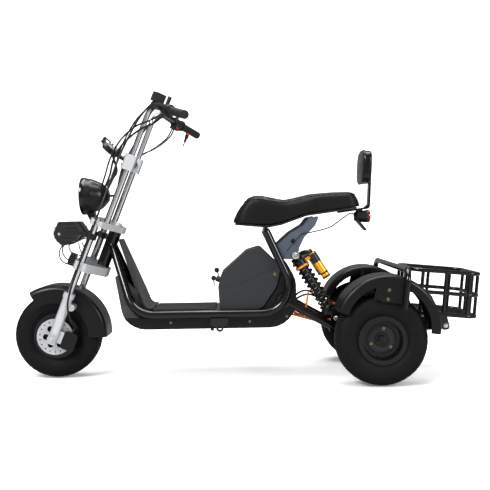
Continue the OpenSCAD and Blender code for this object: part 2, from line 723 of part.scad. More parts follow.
module basket() {
    y = basket_w / 2;
    l = basket_len - rail_d;
    lug_y = arm_y + arm_d / 2 + seat_gap;
    mid = basket_pt([-l / 2, 0, -basket_h]);
    front = basket_pt([-l, 0, 0]);
    hoop_top = [hoop_x + 16, hoop_z];
    to_hoop = unit(hoop_top - [front[0], front[2]]);
    stop = hoop_top - to_hoop * (hoop_d / 2 + seat_gap);
    color([0.04, 0.04, 0.04]) {
        basket_frame() {
            for (z = [0, -basket_h / 2, -basket_h])
                rail_loop(z, rail_d);
            both_sides() for (x = [-basket_corner, -l / 2, basket_corner - l])
                rod([x, -y, 0], [x, -y, -basket_h], post_d);
            for (x = [0, -l], s = [-1, -0.33, 0.33, 1])
                rod([x, s * (y - basket_corner), 0], [x, s * (y - basket_corner), -basket_h], post_d);
            for (s = [-1 : 0.4 : 1])
                rod([0, s * (y - basket_corner), -basket_h], [-l, s * (y - basket_corner), -basket_h],
                    9);
            rod([-l / 2, -y, -basket_h], [-l / 2, y, -basket_h], 13);
        }
        both_sides() {
            side_slab([[mid[0] - 20, mid[2] + 4, 4], [mid[0] + 20, mid[2] + 4, 4],
                [arm_end[0] + 20, arm_end[1] - 18, 14], [arm_end[0] - 16, arm_end[1] - 18, 14]], -lug_y
                    - 5, -lug_y);
            rod([front[0], -96, front[2]], [stop[0], -96, stop[1]], 10);
        }
    }
}

// Empty bracket for a side stand, under the left frame tube
stand_x = foot_x + 345;
stand_z = frame_z - 56;
module stand_bracket() {
    under = frame_z - frame_d / 2 - seat_gap;
    color([0.05, 0.05, 0.05]) difference() {
        union() {
            side_slab([[stand_x - 36, under, 0], [stand_x + 36, under, 0], [stand_x + 30, stand_z + 8,
                8],
                [stand_x - 36, stand_z + 4, 8]], -frame_y - 10, 10 - frame_y);
            rod([stand_x, -frame_y - 10, stand_z], [stand_x, 10 - frame_y, stand_z], 30);
            rod([stand_x - 30, -frame_y - 14, stand_z - 6], [stand_x - 30, -frame_y, stand_z + 12], 14);
        }
        rod([stand_x, -frame_y - 20, stand_z], [stand_x, 20 - frame_y, stand_z], 16);
    }
}

// Cable from the floor body to the drive motor
module motor_cable() {
    wall = pivot[0] - 42 + seat_gap;
    skin = rear_x - motor_d / 2 + 6 - seat_gap;
    route = smooth([[wall, -40, frame_z], [wall + 5, -40, frame_z], [wall + 14, -40, frame_z],
        [wall + 44, -42, frame_z - 8], [wall + 110, -48, frame_z - 26], [wall + 190, -52, axle_z + 42],
        [wall + 262, -46, axle_z + 44], [skin - 26, -33, axle_z + 8], [skin - 10, -30, axle_z],
        [skin - 4, -30, axle_z], [skin, -30, axle_z]], 5);
    color([0.9, 0.3, 0.05]) sweep(route, [0, 1, 0], 5, 8);
}

// Fork and steering

module fork_legs() {
    color([0.75, 0.76, 0.78]) steer() difference() {
        union() {
            both_sides() {
                translate([0, -leg_y, -24]) cylinder(h = leg_top_w + 24, d = leg_d);
                translate([0, -leg_y, leg_top_w - 18]) cylinder(h = 22, d = leg_d + 7);
                rod([0, -leg_y - leg_d / 2 - 2, 0], [0, leg_d / 2 + 2 - leg_y, 0], 34);
                side_slab([[0, 128, 0], [40, 128, 12], [40, 156, 12], [0, 156, 0]],
                    -leg_y - 6, -front_guard_w / 2 - seat_gap);
            }
            // Arm that holds the brake caliper
            side_slab([[0, -14, 0], [36 - seat_gap, -14, 0], [36 - seat_gap, 36, 0], [0, 36, 0]],
                -disc_y - 30, -disc_y - 12);
        }
        both_sides() {
            rod([0, -leg_y - 60, 0], [0, 60 - leg_y, 0], axle_d + 2 * fit_gap);
            translate([0, -leg_y, 90]) cylinder(h = leg_top_w, d = fork_tube_d + 2 * fit_gap);
        }
    }
}

module fork_tubes() {
    color([0.85, 0.86, 0.88]) steer() both_sides()
        translate([0, -leg_y, 92]) cylinder(h = upper_clamp_w + upper_clamp_t + 6 - 92,
            d = fork_tube_d);
}

// Fork clamp seen along the fork: lobes round both legs and the stem
module clamp_plate(w, t, reach) {
    side = [[-30, 0, 0], [-30, leg_y - 34, 20], [-24, leg_y + 24, 22], [24, leg_y + 24, 22],
        [fork_offset + reach, 32, 26], [fork_offset + reach, 0, 0]];
    translate([0, 0, w]) linear_extrude(t) polygon(outline(concat(side,
        flip([for (i = [1 : 4]) side[i]]))));
}

module lower_clamp() {
    color([0.72, 0.73, 0.75]) steer() {
        difference() {
            clamp_plate(lower_clamp_w, lower_clamp_t, 34);
            both_sides() translate([0, -leg_y, lower_clamp_w - 1])
                cylinder(h = lower_clamp_t + 2, d = fork_tube_d + 2 * fit_gap);
        }
        translate([fork_offset, 0, lower_clamp_w + 1])
            cylinder(h = upper_clamp_w + upper_clamp_t + 10 - lower_clamp_w, d = stem_d);
        translate([fork_offset, 0, lower_clamp_w + lower_clamp_t - 1]) cylinder(h = 2.5, d = head_d
            - 8);
    }
}

module upper_clamp() {
    color([0.74, 0.75, 0.77]) steer() difference() {
        union() {
            clamp_plate(upper_clamp_w, upper_clamp_t, 36);
            translate([fork_offset, 0, head_high_w + 0.5]) cylinder(h = 3, d = head_d - 8);
        }
        both_sides() {
            translate([0, -leg_y, upper_clamp_w - 1])
                cylinder(h = upper_clamp_t + 2, d = fork_tube_d + 2 * fit_gap);
            translate([riser_u, -riser_y, upper_clamp_w - 1])
                cylinder(h = upper_clamp_t + 2, d = riser_d + 2 * fit_gap);
        }
        translate([fork_offset, 0, upper_clamp_w - 5]) cylinder(h = upper_clamp_t + 10, d = stem_d + 2
            * fit_gap);
    }
}

module bar_risers() {
    color([0.85, 0.86, 0.88]) steer() both_sides()
        translate([riser_u, -riser_y, upper_clamp_w - 4])
        cylinder(h = bar_clamp_w + clamp_h / 2 - upper_clamp_w + 4, d = riser_d);
}

module bar_clamp() {
    color([0.75, 0.76, 0.78]) steer() difference() {
        union() {
            both_sides() translate([riser_u, -riser_y, bar_clamp_w]) linear_extrude(clamp_h)
                polygon(outline([[-24, -22, 8], [24, -22, 8], [24, 22, 8], [-24, 22, 8]]));
            rod([riser_u, -riser_y, bar_clamp_w + 32], [riser_u, riser_y, bar_clamp_w + 32], 20);
        }
        both_sides() translate([riser_u, -riser_y, bar_clamp_w]) {
            translate([0, 0, -1]) cylinder(h = clamp_h / 2 + 1 + seat_gap, d = riser_d + 2 * fit_gap);
            cylinder(h = clamp_h + 1, d = bar_d + 2 * fit_gap);
        }
    }
}

bar_low = [riser_u, -riser_y, bar_clamp_w + clamp_h / 2 + 1];
bar_bend_pt = [riser_u, -riser_y, bar_top_w];
bar_tip = [riser_u + 169, -bar_half, bar_top_w - 11];
bar_run = unit(bar_tip - bar_bend_pt);
bar_fwd = cross(bar_run, unit([0, 0, 1] - bar_run[2] * bar_run));
function on_bar(d) = bar_tip - bar_run * d;

module handlebar() {
    color([0.85, 0.86, 0.88]) steer() both_sides()
        one_bend(bar_low, bar_bend_pt, bar_tip, 52, bar_d);
}

module grips() {
    color([0.05, 0.05, 0.05]) steer() both_sides() difference() {
        union() {
            rod(on_bar(grip_len), on_bar(-10), grip_d);
            rod(on_bar(grip_len), on_bar(grip_len - 9), grip_d + 14);
        }
        rod(on_bar(grip_len + 5), on_bar(-seat_gap), bar_d + 2 * fit_gap);
    }
}

// Frame at the tip of the left bar: z runs out along it, x up and y forwards
module bar_end() {
    x = unit([0, 0, 1] - bar_run[2] * bar_run);
    y = cross(bar_run, x);
    multmatrix([[x[0], y[0], bar_run[0], bar_tip[0]], [x[1], y[1], bar_run[1], bar_tip[1]],
        [x[2], y[2], bar_run[2], bar_tip[2]], [0, 0, 0, 1]]) children();
}

ring_from = grip_len + 4;
boss_d = 16;
boss_hole_d = 8;
module lever() {
    one_bend([2, 28, -ring_from - 60], [2, 58, -ring_from - 14], [2, 62, -14], 30, 11);
    translate([2, 62, -14]) sphere(d = 17, $fn = 24);
}

// Switch ring and mirror boss that both controls share
module control_ring() {
    difference() {
        union() {
            translate([0, 0, -ring_from - 46]) cylinder(h = 46, d = bar_d + 18);
            translate([0, 0, -ring_from - 36]) rotate([0, 90, 0]) cylinder(h = 52, d = boss_d);
            children();
        }
        translate([0, 0, -ring_from - 120]) cylinder(h = 140, d = bar_d + 2 * fit_gap);
        translate([34, 0, -ring_from - 36]) rotate([0, 90, 0]) cylinder(h = 20, d = boss_hole_d);
    }
}

module control_left() {
    color([0.05, 0.05, 0.05]) steer() bar_end() control_ring() {
        translate([4, 30, -ring_from - 92]) cylinder(h = 60, d = 24);
        translate([-8, 0, -ring_from - 78]) cube([22, 30, 34]);
        translate([14, 10, -ring_from - 92]) cube([36, 40, 46]);
        lever();
    }
}

module control_right() {
    color([0.05, 0.05, 0.05]) steer() mirror([0, 1, 0]) bar_end() control_ring() {
        translate([4, 28, -ring_from - 72]) cylinder(h = 34, d = 20);
        translate([-8, 0, -ring_from - 70]) cube([26, 28, 30]);
        translate([-30, -8, -ring_from - 40]) cube([24, 24, 34]);
        lever();
    }
}

// Headlamp: a bowl turned about a level axis, facing forwards
lamp_pt = steer_pt([-111.2, 0, upper_clamp_w + 86.2]);
lamp_at = [lamp_pt[0], lamp_pt[2]];
module lamp_turn(profile) {
    translate([lamp_at[0], 0, lamp_at[1]]) rotate([0, 90, 0]) rotate_extrude() polygon(profile);
}

module headlamp() {
    r = headlamp_d / 2;
    h = headlamp_depth;
    bowl = [[0, 0, 0], [r, 0, 2], [r, 14, 3], [r - 4, 40, 40], [r * 0.7, h * 0.75, 40], [r * 0.3, h,
        14], [0, h, 0]];
    hollow = [[0, h - 5, 0], [r * 0.28, h - 5, 10], [r * 0.62, h * 0.7, 40], [r - 9, 40, 40], [r - 6,
        4, 0],
        [r - 3, -1, 0], [0, -1, 0]];
    u = -30 - seat_gap;
    w = upper_clamp_w;
    color([0.04, 0.04, 0.04]) difference() {
        union() {
            lamp_turn(outline(bowl));
            steer() side_slab([[u, w + 2, 0], [u, w + upper_clamp_t - 2, 0], [u - 16, w + 50, 6], [u
                - 42, w + 50, 6],
                [u - 38, w + 24, 8], [u - 14, w + 2, 8]], -20, 20);
        }
        lamp_turn(outline(hollow));
    }
}

module headlamp_lens() {
    r = headlamp_d / 2 - 6.5;
    color([0.8, 0.85, 0.9, 0.5]) lamp_turn(outline([[0, -7, 0], [r * 0.5, -4, 60], [r, 5, 4], [r - 1,
        9, 0], [0, 3, 0]]));
}

module driving_lamps() {
    x = front_x + 6;
    z = axle_z + 422;
    w = 430;
    arm = steer_pt([-14, -leg_y, w + 12]);
    color([0.08, 0.08, 0.09]) both_sides() difference() {
        union() {
            side_slab([[x, z, 14], [x + 20, z + 48, 8], [x + 82, z + 48, 8], [x + 112, z + 4, 14], [x
                + 84, z - 30, 10],
                [x + 36, z - 52, 8], [x + 12, z - 30, 6]], -24 - aux_w, -24);
            steer() translate([0, -leg_y, w]) cylinder(h = 24, d = fork_tube_d + 16);
            rod(arm, [x + 88, -4 - aux_w, z + 6], 14);
        }
        steer() translate([0, -leg_y, w - 30]) cylinder(h = 90, d = fork_tube_d + 2 * fit_gap);
    }
}

// Gauge on an arm that clips round the bar clamp's cross rod
gauge_at = steer_pt([-77.6, 0, bar_clamp_w + 66.8]);
module gauge() {
    clip = steer_pt([riser_u, 0, bar_clamp_w + 32]);
    n = [sin(45), 0, cos(45)];
    color([0.05, 0.05, 0.05]) difference() {
        union() {
            translate(gauge_at) rotate([0, 45, 0]) translate([0, 0, -12]) cylinder(h = 23, d = gauge_d);
            translate(gauge_at) rotate([0, 45, 0]) translate([0, 0, -26]) cylinder(h = 16, d1 = 44,
                d2 = gauge_d - 16);
            rod(gauge_at - 18 * n, clip, 18);
            translate(clip) rotate([90, 0, 0]) translate([0, 0, -18]) cylinder(h = 36, d = 36);
        }
        translate(clip) rotate([90, 0, 0]) translate([0, 0, -60]) cylinder(h = 120, d = 20 + 2
            * fit_gap);
    }
}

module horn() {
    color([0.05, 0.05, 0.05]) steer() translate([-72, 0, lower_clamp_w + 16]) rotate([0, 90, 0]) {
        cylinder(h = 24, d = 56);
        cylinder(h = 42 - seat_gap, d = 16);
    }
}

front_guard_r = tyre_r + 32;
front_guard_w = tyre_w + 24;
module front_mudguard() {
    h = front_guard_w / 2;
    r = front_guard_r;
    t = guard_t - 1;
    skirt = r - 74;
    color([0.07, 0.07, 0.08]) translate([front_x, 0, axle_z]) rotate([0, 2, 0]) rotate([90, 0, 0])
        rotate_extrude(angle = 122) polygon(outline([[skirt, h, 0], [r, h, 22], [r, -h, 22], [skirt,
            -h, 0],
        [skirt, t - h, 0], [r - t, t - h, 19], [r - t, h - t, 19], [skirt, h - t, 0]]));
}

module brake_caliper() {
    color([0.06, 0.06, 0.06]) steer() difference() {
        side_slab([[36, -30, 12], [92, -30, 14], [92, 44, 14], [36, 44, 12]], -disc_y - 24, 16
            - disc_y);
        rod([0, -disc_y - disc_t / 2 - 1.5, 0], [0, disc_t / 2 + 1.5 - disc_y, 0], disc_d + 6);
    }
}

// Hose from the left lever's cylinder to the caliper, in the steering frame
module brake_hose() {
    tip = on_bar(ring_from + 92 + seat_gap) + 30 * bar_fwd + [0, 0, 5];
    route = smooth([tip, tip - 5 * bar_run, tip - 14 * bar_run, [16, -130, bar_top_w - 60],
        [0, -126, bar_top_w - 160],
        [-6, -128, bar_clamp_w + 18], [-3, -136, bar_clamp_w - 102], [0, -leg_y - 34, upper_clamp_w + 52],
        [0, -leg_y - 36, upper_clamp_w - 68],
        [0, -leg_y - 36, 320], [2, -leg_y - 32, 230], [14, -leg_y - 30, 150], [46, -leg_y - 18, 94],
        [63, -disc_y - 16, 68], [64, -disc_y - 14, 54],
        [64, -disc_y - 14, 48], [64, -disc_y - 14, 44 + 2 * seat_gap]], 4);
    color([0.03, 0.03, 0.03]) steer() sweep(route, [0, 1, 0.2], 4, 8);
}

// Wire from the right switch to the back of the headlamp, in the steering frame
module wire_loom() {
    tip = mirror_y(on_bar(ring_from + 72 + seat_gap) + 28 * bar_fwd + [0, 0, 5]);
    back = [lamp_at[0] + headlamp_depth + seat_gap - front_x, lamp_at[1] - axle_z];
    end = [back[0] * cos(rake) - back[1] * sin(rake), 0, back[0] * sin(rake) + back[1] * cos(rake)];
    run = [cos(rake), 0, sin(rake)];
    room = bar_top_w - bar_clamp_w - clamp_h;
    route = smooth([tip, tip - 5 * mirror_y(bar_run), tip - 14 * mirror_y(bar_run),
        [22, 118, bar_clamp_w + clamp_h + 0.72 * room], [0, 74, bar_clamp_w + clamp_h + 0.2 * room],
        [-6, 40, bar_clamp_w + 18], [2, 18, bar_clamp_w - 42], end + 26 * run + [0, 2, 10], end + 10 * run,
        end + 5 * run, end], 4);
    color([0.03, 0.03, 0.03]) steer() sweep(route, [1, 0.2, 0], 5, 8);
}

module front_axle() {
    tip = leg_y + leg_d / 2 + 14;
    color([0.6, 0.6, 0.62]) steer() rod([0, -tip, 0], [0, tip, 0], axle_d);
}

// Wheels

module tyre() {
    b = tyre_w / 2;
    half = [[barrel_r + fit_gap, bead_half, 0], [lip_r + 4, bead_half - 2, 6], [tyre_r * 0.74, b, 26],
        [tyre_r - 12, b - 12, 20], [tyre_r, b * 0.34, 50]];
    turned(outline(concat(half, [for (i = [4 : -1 : 0]) [half[i][0], -half[i][1], half[i][2]]])));
}

module front_tyre() {
    color([0.04, 0.04, 0.04]) translate([front_x, 0, axle_z]) tyre();
}

module front_rim() {
    bore = axle_d / 2 + run_gap;
    inner = barrel_r - barrel_t;
    spacer = disc_y - disc_t / 2;
    color([0.12, 0.12, 0.13]) translate([front_x, 0, axle_z])
        turned([[bore, -rim_half], [hub_r, -rim_half], [hub_r, -8], [inner, -8], [inner, -rim_half],
            [lip_r, -rim_half], [lip_r, lip_t - rim_half], [barrel_r, lip_t - rim_half],
            [barrel_r, rim_half - lip_t], [lip_r, rim_half - lip_t], [lip_r, rim_half], [inner,
                rim_half],
            [inner, 8], [hub_r, 8], [hub_r, spacer], [bore, spacer]]);
}

module brake_disc() {
    color([0.7, 0.71, 0.73]) translate([front_x, -disc_y, axle_z]) rotate([90, 0, 0]) translate([0, 0,
        -disc_t / 2])
        difference() {
            cylinder(h = disc_t, d = disc_d);
            translate([0, 0, -1]) {
                cylinder(h = disc_t + 2, d = axle_d + 6);
                for (a = [0 : 60 : 300])
                    rotate(a) translate([disc_d * 0.25, 0, 0]) cylinder(h = disc_t + 2, d = 24);
                for (a = [0 : 20 : 340])
                    rotate(a + 10) translate([disc_d * 0.42, 0, 0]) cylinder(h = disc_t + 2, d = 6);
            }
        }
}

module rear_rim() {
    inner = barrel_r - barrel_t;
    shaft_r = shaft_d / 2;
    web = 18;
    hub_in = axle_tube_end - track / 2 + 8;
    color([0.10, 0.10, 0.11])
        turned([[0, hub_in - 90], [shaft_r, hub_in - 90], [shaft_r, hub_in], [hub_r, hub_in], [hub_r,
            web], [inner, web],
            [inner, -rim_half], [lip_r, -rim_half], [lip_r, lip_t - rim_half], [barrel_r, lip_t
                - rim_half],
            [barrel_r, rim_half - lip_t], [lip_r, rim_half - lip_t], [lip_r, rim_half], [inner,
                rim_half],
            [inner - 6, web + 8], [28, web + 8], [27, web + 14], [17, web + 14], [17, web + 28], [0,
                web + 28]]);
}

module rear_tyre_left() {
    color([0.04, 0.04, 0.04]) translate([rear_x, -track / 2, axle_z]) tyre();
}

module rear_rim_left() {
    translate([rear_x, -track / 2, axle_z]) rear_rim();
}

module rear_tyre_right() {
    color([0.04, 0.04, 0.04]) mirror([0, 1, 0]) translate([rear_x, -track / 2, axle_z]) tyre();
}

module rear_rim_right() {
    mirror([0, 1, 0]) translate([rear_x, -track / 2, axle_z]) rear_rim();
}

main_frame();
belly_pan();
leg_shield();
deck_mat();
battery_box();
battery_pack();
battery_lid();
seat_pan();
seat_cushion();
seat_brackets();
backrest_bar();
backrest_pad();
tail_lamp();
rear_subframe();
drive_motor();
shock_dampers();
shock_springs();
shock_reservoirs();
mudguard_left();
mudguard_right();
rack_hoop();
basket();
stand_bracket();
motor_cable();
fork_legs();
fork_tubes();
lower_clamp();
upper_clamp();
bar_risers();
bar_clamp();
handlebar();
grips();
control_left();
control_right();
headlamp();
headlamp_lens();
driving_lamps();
gauge();
horn();
front_mudguard();
brake_caliper();
brake_hose();
wire_loom();
front_axle();
front_tyre();
front_rim();
brake_disc();
rear_tyre_left();
rear_rim_left();
rear_tyre_right();
rear_rim_right();
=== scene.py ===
import math

import bpy
import numpy as np
from mathutils import Matrix, Vector


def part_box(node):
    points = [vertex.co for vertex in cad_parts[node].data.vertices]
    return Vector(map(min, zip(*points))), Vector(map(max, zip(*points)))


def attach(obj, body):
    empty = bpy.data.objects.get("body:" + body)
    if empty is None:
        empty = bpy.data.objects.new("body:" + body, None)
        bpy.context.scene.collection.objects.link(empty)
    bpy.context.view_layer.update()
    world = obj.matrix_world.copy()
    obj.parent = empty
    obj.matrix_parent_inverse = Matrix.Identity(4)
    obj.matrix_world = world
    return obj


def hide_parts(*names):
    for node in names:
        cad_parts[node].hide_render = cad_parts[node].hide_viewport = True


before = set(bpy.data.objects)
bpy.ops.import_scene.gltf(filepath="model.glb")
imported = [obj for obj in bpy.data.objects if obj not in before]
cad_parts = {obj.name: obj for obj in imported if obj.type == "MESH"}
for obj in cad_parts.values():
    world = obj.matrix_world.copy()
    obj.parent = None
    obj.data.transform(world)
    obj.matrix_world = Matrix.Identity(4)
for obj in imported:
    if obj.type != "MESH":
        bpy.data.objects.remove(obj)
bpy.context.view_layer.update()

bl_info = {
    "name": "Three-wheeled scooter dressing",
    "version": (1, 0, 0),
    "blender": (4, 5, 0),
    "location": "View3D > Sidebar > Scooter",
    "description": "Dresses the packed scooter with its seat, tyres, lamps, fasteners and finishes",
    "category": "Object",
}

# Places on the frame, in metres
RAKE = math.radians(22.0)
FRONT_X, REAR_X, AXLE_Z = -0.778, 0.522, 0.178
TRACK_Y = 0.265
SHOCK_LOW, SHOCK_TOP = np.array([0.368, -0.1014, 0.24]), np.array([0.209, -0.1014, 0.497])
# Left-hand faces that the small trim sits on
PAN_Y, BOX_Y, PLATE_Y, CHEEK_Y, LAMP_Y = -0.1185, -0.108, -0.1187, -0.347, -0.0942
MAT_TOP = 0.2861
LEFT, BACK = np.array([0.0, -1, 0]), np.array([1.0, 0, 0])
FORK_UP = np.array([math.sin(RAKE), 0, math.cos(RAKE)])
FORK_FRONT = np.array([-math.cos(RAKE), 0, math.sin(RAKE)])
# Edges that turn by more than this stay sharp, in degrees
SHARP_ANGLE = 38


# Shapes

def steer(u, y, w):
    """A point of the steering frame: u behind the fork legs, y sideways, w up along the fork."""
    return np.array([FRONT_X + u * math.cos(RAKE) + w * math.sin(RAKE), y,
                     AXLE_Z - u * math.sin(RAKE) + w * math.cos(RAKE)])


def unit(v):
    """A vector divided by its length."""
    v = np.asarray(v, float)
    return v / np.linalg.norm(v, axis=-1, keepdims=True)


def ramp(v, start, run):
    """A value that climbs from 0 to 1 over a run that begins at start."""
    return np.clip((v - start) / run, 0, 1)


def fall(v, end, run):
    """A value that drops from 1 to 0 over a run that stops at end."""
    return np.clip((end - v) / run, 0, 1)


def circle(count):
    """Angles spread evenly round a circle."""
    return np.linspace(0, 2 * np.pi, count, endpoint=False)


def across(axis):
    """Two directions that stand square to an axis and to each other."""
    axis = unit(axis)
    ref = np.array([0.0, 0, 1]) if abs(axis[2]) < 0.9 else np.array([1.0, 0, 0])
    a = unit(np.cross(ref, axis))
    return a, np.cross(axis, a)


def spokes(axis, angles):
    """Directions square to an axis, at angles round it."""
    a, b = across(axis)
    return np.cos(angles)[:, None] * a + np.sin(angles)[:, None] * b


def grid_faces(m, n, close_u, close_v):
    """Quads of an m by n grid of points, joined across an end where that direction is closed."""
    rows, columns = np.arange(m if close_u else m - 1), np.arange(n if close_v else n - 1)
    i, j = np.meshgrid(rows, columns, indexing="ij")
    i2, j2 = (i + 1) % m, (j + 1) % n
    return np.stack([i * n + j, i2 * n + j, i2 * n + j2, i * n + j2], -1).reshape(-1, 4)


def shell(points, close_u=False, close_v=True, caps=True):
    """Vertices and faces of a grid; where caps is set, a middle point closes each open end of u."""
    m, n, _ = points.shape
    verts, faces = points.reshape(-1, 3), [grid_faces(m, n, close_u, close_v)]
    if caps and not close_u:
        j = np.arange(n if close_v else n - 1)
        k = (j + 1) % n
        ends = np.stack([points[0].mean(0), points[-1].mean(0)])
        first = np.stack([np.full_like(j, m * n), j, k], -1)
        last = np.stack([np.full_like(j, m * n + 1), (m - 1) * n + k, (m - 1) * n + j], -1)
        verts = np.concatenate([verts, ends])
        faces += [first, last]
    return verts, faces


def lathe(profile, centre, axis, steps, caps=False):
    """A profile of radius and distance along the axis, in millimetres, turned once round that axis."""
    p = np.array(profile) / 1000
    ring = spokes(axis, circle(steps))
    pts = np.asarray(centre) + p[:, None, :1] * ring[None] + p[:, None, 1:] * unit(axis)
    return shell(pts, caps=caps)


def hex_head(centre, axis, radius, height, washer=1.35):
    """A washer under a six-sided head with its top corners rounded off, as one turned profile."""
    t = circle(24)
    six = math.cos(math.pi / 6) / np.cos((t % (np.pi / 3)) - np.pi / 6)
    rows = [(washer, 0, 0), (washer, 0.16, 0), (1.02, 0.2, 1), (1.02, 0.86, 1), (0.88, 1, 1), (0.5, 1, 1)]
    pts = [radius * r * (six if h else np.ones_like(six)) for r, _, h in rows]
    pts = np.array(pts)[..., None] * spokes(axis, t)[None]
    pts = pts + np.array([z for _, z, _ in rows])[:, None, None] * height * unit(axis)
    return shell(pts + np.asarray(centre))


def spline(points, count):
    """Catmull-Rom curve through the points, with count samples spread evenly over its spans."""
    p = np.asarray(points, float)
    q = np.concatenate([[2 * p[0] - p[1]], p, [2 * p[-1] - p[-2]]])
    t = np.linspace(0, len(p) - 1 - 1e-9, count)
    i = t.astype(int)
    f = (t - i)[:, None]
    a, b, c, d = q[i], q[i + 1], q[i + 2], q[i + 3]
    return 0.5 * (2 * b + (c - a) * f + (2 * a - 5 * b + 4 * c - d) * f ** 2
                  + (3 * b - a - 3 * c + d) * f ** 3)


def tube(path, radius, sides=10, closed=False):
    """A round section carried along a path, kept square to it and turned by a fixed side direction."""
    p = np.asarray(path, float)
    d = unit(np.roll(p, -1, 0) - np.roll(p, 1, 0)) if closed else unit(np.gradient(p, axis=0))
    span = np.ptp(p, axis=0)
    side = np.eye(3)[np.argmin(span)]
    n = unit(np.cross(d, side + 1e-4))
    m = np.cross(d, n)
    t = circle(sides)
    r = np.broadcast_to(np.asarray(radius, float), (len(p),))[:, None, None]
    pts = p[:, None] + r * (np.cos(t)[None, :, None] * n[:, None] + np.sin(t)[None, :, None] * m[:, None])
    return shell(pts, close_u=closed, caps=not closed)


def join(parts):
    """Several shapes as one list of vertices and faces."""
    verts, faces, base = [], [], 0
    for v, fs in parts:
        verts.append(v)
        faces += [f + base for f in fs]
        base += len(v)
    return np.concatenate(verts), faces


def mirrored(shape):
    """The same shape on the other side of the scooter, with its faces turned outwards again."""
    v, fs = shape
    return v * np.array([1, -1, 1]), [f[:, ::-1] for f in fs]


def both_sides(parts):
    """The shapes and their mirror images, as one shape."""
    return join(parts + [mirrored(k) for k in parts])


def line(points, radius, count=40, sides=10):
    """A round cord through the points."""
    return tube(spline(points, count), radius, sides)


def mesh_of(name, shape):
    """A mesh of the shape's vertices and faces."""
    verts, faces = shape
    mesh = bpy.data.meshes.new(name)
    mesh.from_pydata(verts.tolist(), [], [f for fs in faces for f in fs.tolist()])
    return mesh


def placed(name, data):
    """An object with the data, linked into the scene."""
    obj = bpy.data.objects.new(name, data)
    bpy.context.scene.collection.objects.link(obj)
    return obj


def piece(name, shape, look, body, replaces=(), smooth=True):
    """Puts a shape into the scene as one object that rides on a body."""
    mesh = mesh_of(name, shape)
    mesh.update()
    mesh.polygons.foreach_set("use_smooth", [smooth] * len(mesh.polygons))
    if smooth:
        mesh.set_sharp_from_angle(angle=math.radians(SHARP_ANGLE))
    mesh.materials.append(M[look])
    obj = placed(name, mesh)
    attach(obj, body)
    if replaces:
        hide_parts(*replaces)
    return obj


# Finishes

def group(name, inputs, outputs):
    """An empty shader node group with its sockets, its input and output nodes."""
    g = bpy.data.node_groups.new(name, "ShaderNodeTree")
    for label, kind, value in inputs:
        s = g.interface.new_socket(label, in_out="INPUT", socket_type=kind)
        if value is not None:
            s.default_value = value
    for label, kind in outputs:
        g.interface.new_socket(label, in_out="OUTPUT", socket_type=kind)
    return g, g.nodes.new("NodeGroupInput"), g.nodes.new("NodeGroupOutput")


def node(tree, kind, links=None, **values):
    """A node with its settings, and its inputs set or linked."""
    n = tree.nodes.new(kind)
    for k, v in values.items():
        setattr(n, k, v)
    for k, v in (links or {}).items():
        if isinstance(v, bpy.types.NodeSocket):
            tree.links.new(v, n.inputs[k])
        else:
            n.inputs[k].default_value = v
    return n


def maths(tree, operation, *values, **settings):
    """The result of one math node on sockets or numbers."""
    return node(tree, "ShaderNodeMath", dict(enumerate(values)), operation=operation, **settings).outputs[0]


def mixed(tree, share, first, second):
    """The first colour turned into the second by a share."""
    return node(tree, "ShaderNodeMix", {0: share, 6: first, 7: second}, data_type="RGBA").outputs[2]


FLOAT, VECTOR, COLOUR = "NodeSocketFloat", "NodeSocketVector", "NodeSocketColor"


def mottle_group():
    """Uneven tone and gloss: broad noise darkens the colour and moves the roughness about its middle, and
    fine noise gives a height."""
    g, gi, go = group("uneven_finish",
                      [("Vector", VECTOR, None), ("Color", COLOUR, None), ("Shade", FLOAT, 0.3),
                       ("Scale", FLOAT, 9.0), ("Rough", FLOAT, 0.4), ("Spread", FLOAT, 0.15),
                       ("Grain", FLOAT, 600.0)],
                      [("Color", COLOUR), ("Roughness", FLOAT), ("Height", FLOAT)])
    i = gi.outputs
    noise = [node(g, "ShaderNodeTexNoise", {"Vector": i["Vector"], "Scale": i[k], "Detail": detail})
             for k, detail in (("Scale", 5.0), ("Grain", 2.0))]
    broad, fine = (n.outputs[0] for n in noise)
    amount = maths(g, "MULTIPLY", broad, i["Shade"])
    dark = mixed(g, amount, i["Color"], (0, 0, 0, 1))
    off = maths(g, "SUBTRACT", broad, 0.5)
    rough = maths(g, "MULTIPLY_ADD", off, i["Spread"], i["Rough"])
    g.links.new(dark, go.inputs["Color"])
    g.links.new(rough, go.inputs["Roughness"])
    g.links.new(fine, go.inputs["Height"])
    return g


def grain_group():
    """Hide grain: the distance to the edges of small cells, roughened by noise, as a height."""
    g, gi, go = group("hide_grain", [("Vector", VECTOR, None), ("Scale", FLOAT, 420.0)], [("Height", FLOAT)])
    where = gi.outputs["Vector"]
    cells = node(g, "ShaderNodeTexVoronoi", {"Vector": where, "Scale": gi.outputs["Scale"]},
                 feature="DISTANCE_TO_EDGE")
    noise = node(g, "ShaderNodeTexNoise", {"Vector": where, "Scale": 900.0})
    soft = maths(g, "MULTIPLY", cells.outputs["Distance"], 4.0, use_clamp=True)
    total = maths(g, "MULTIPLY_ADD", noise.outputs[0], 0.3, soft)
    g.links.new(total, go.inputs["Height"])
    return g


def brushed_group():
    """Fine lines along one direction: noise stretched by the scale of the three axes, as a height."""
    g, gi, go = group("brushed_lines", [("Vector", VECTOR, None), ("Stretch", VECTOR, None)],
                      [("Height", FLOAT)])
    m = node(g, "ShaderNodeMapping", {"Vector": gi.outputs["Vector"], "Scale": gi.outputs["Stretch"]})
    n = node(g, "ShaderNodeTexNoise", {"Vector": m.outputs[0], "Scale": 1.0, "Detail": 3.0})
    g.links.new(n.outputs[0], go.inputs["Height"])
    return g


# Node groups by kind, filled when the finishes are made
GROUPS = {}
# Dark tone painted at the turned-away edges of bright metal as a painted reflection, and the coat's
# roughness
PAINTED_REFLECTION_TONE, COAT_ROUGHNESS = (0.01, 0.01, 0.012, 1), 0.08


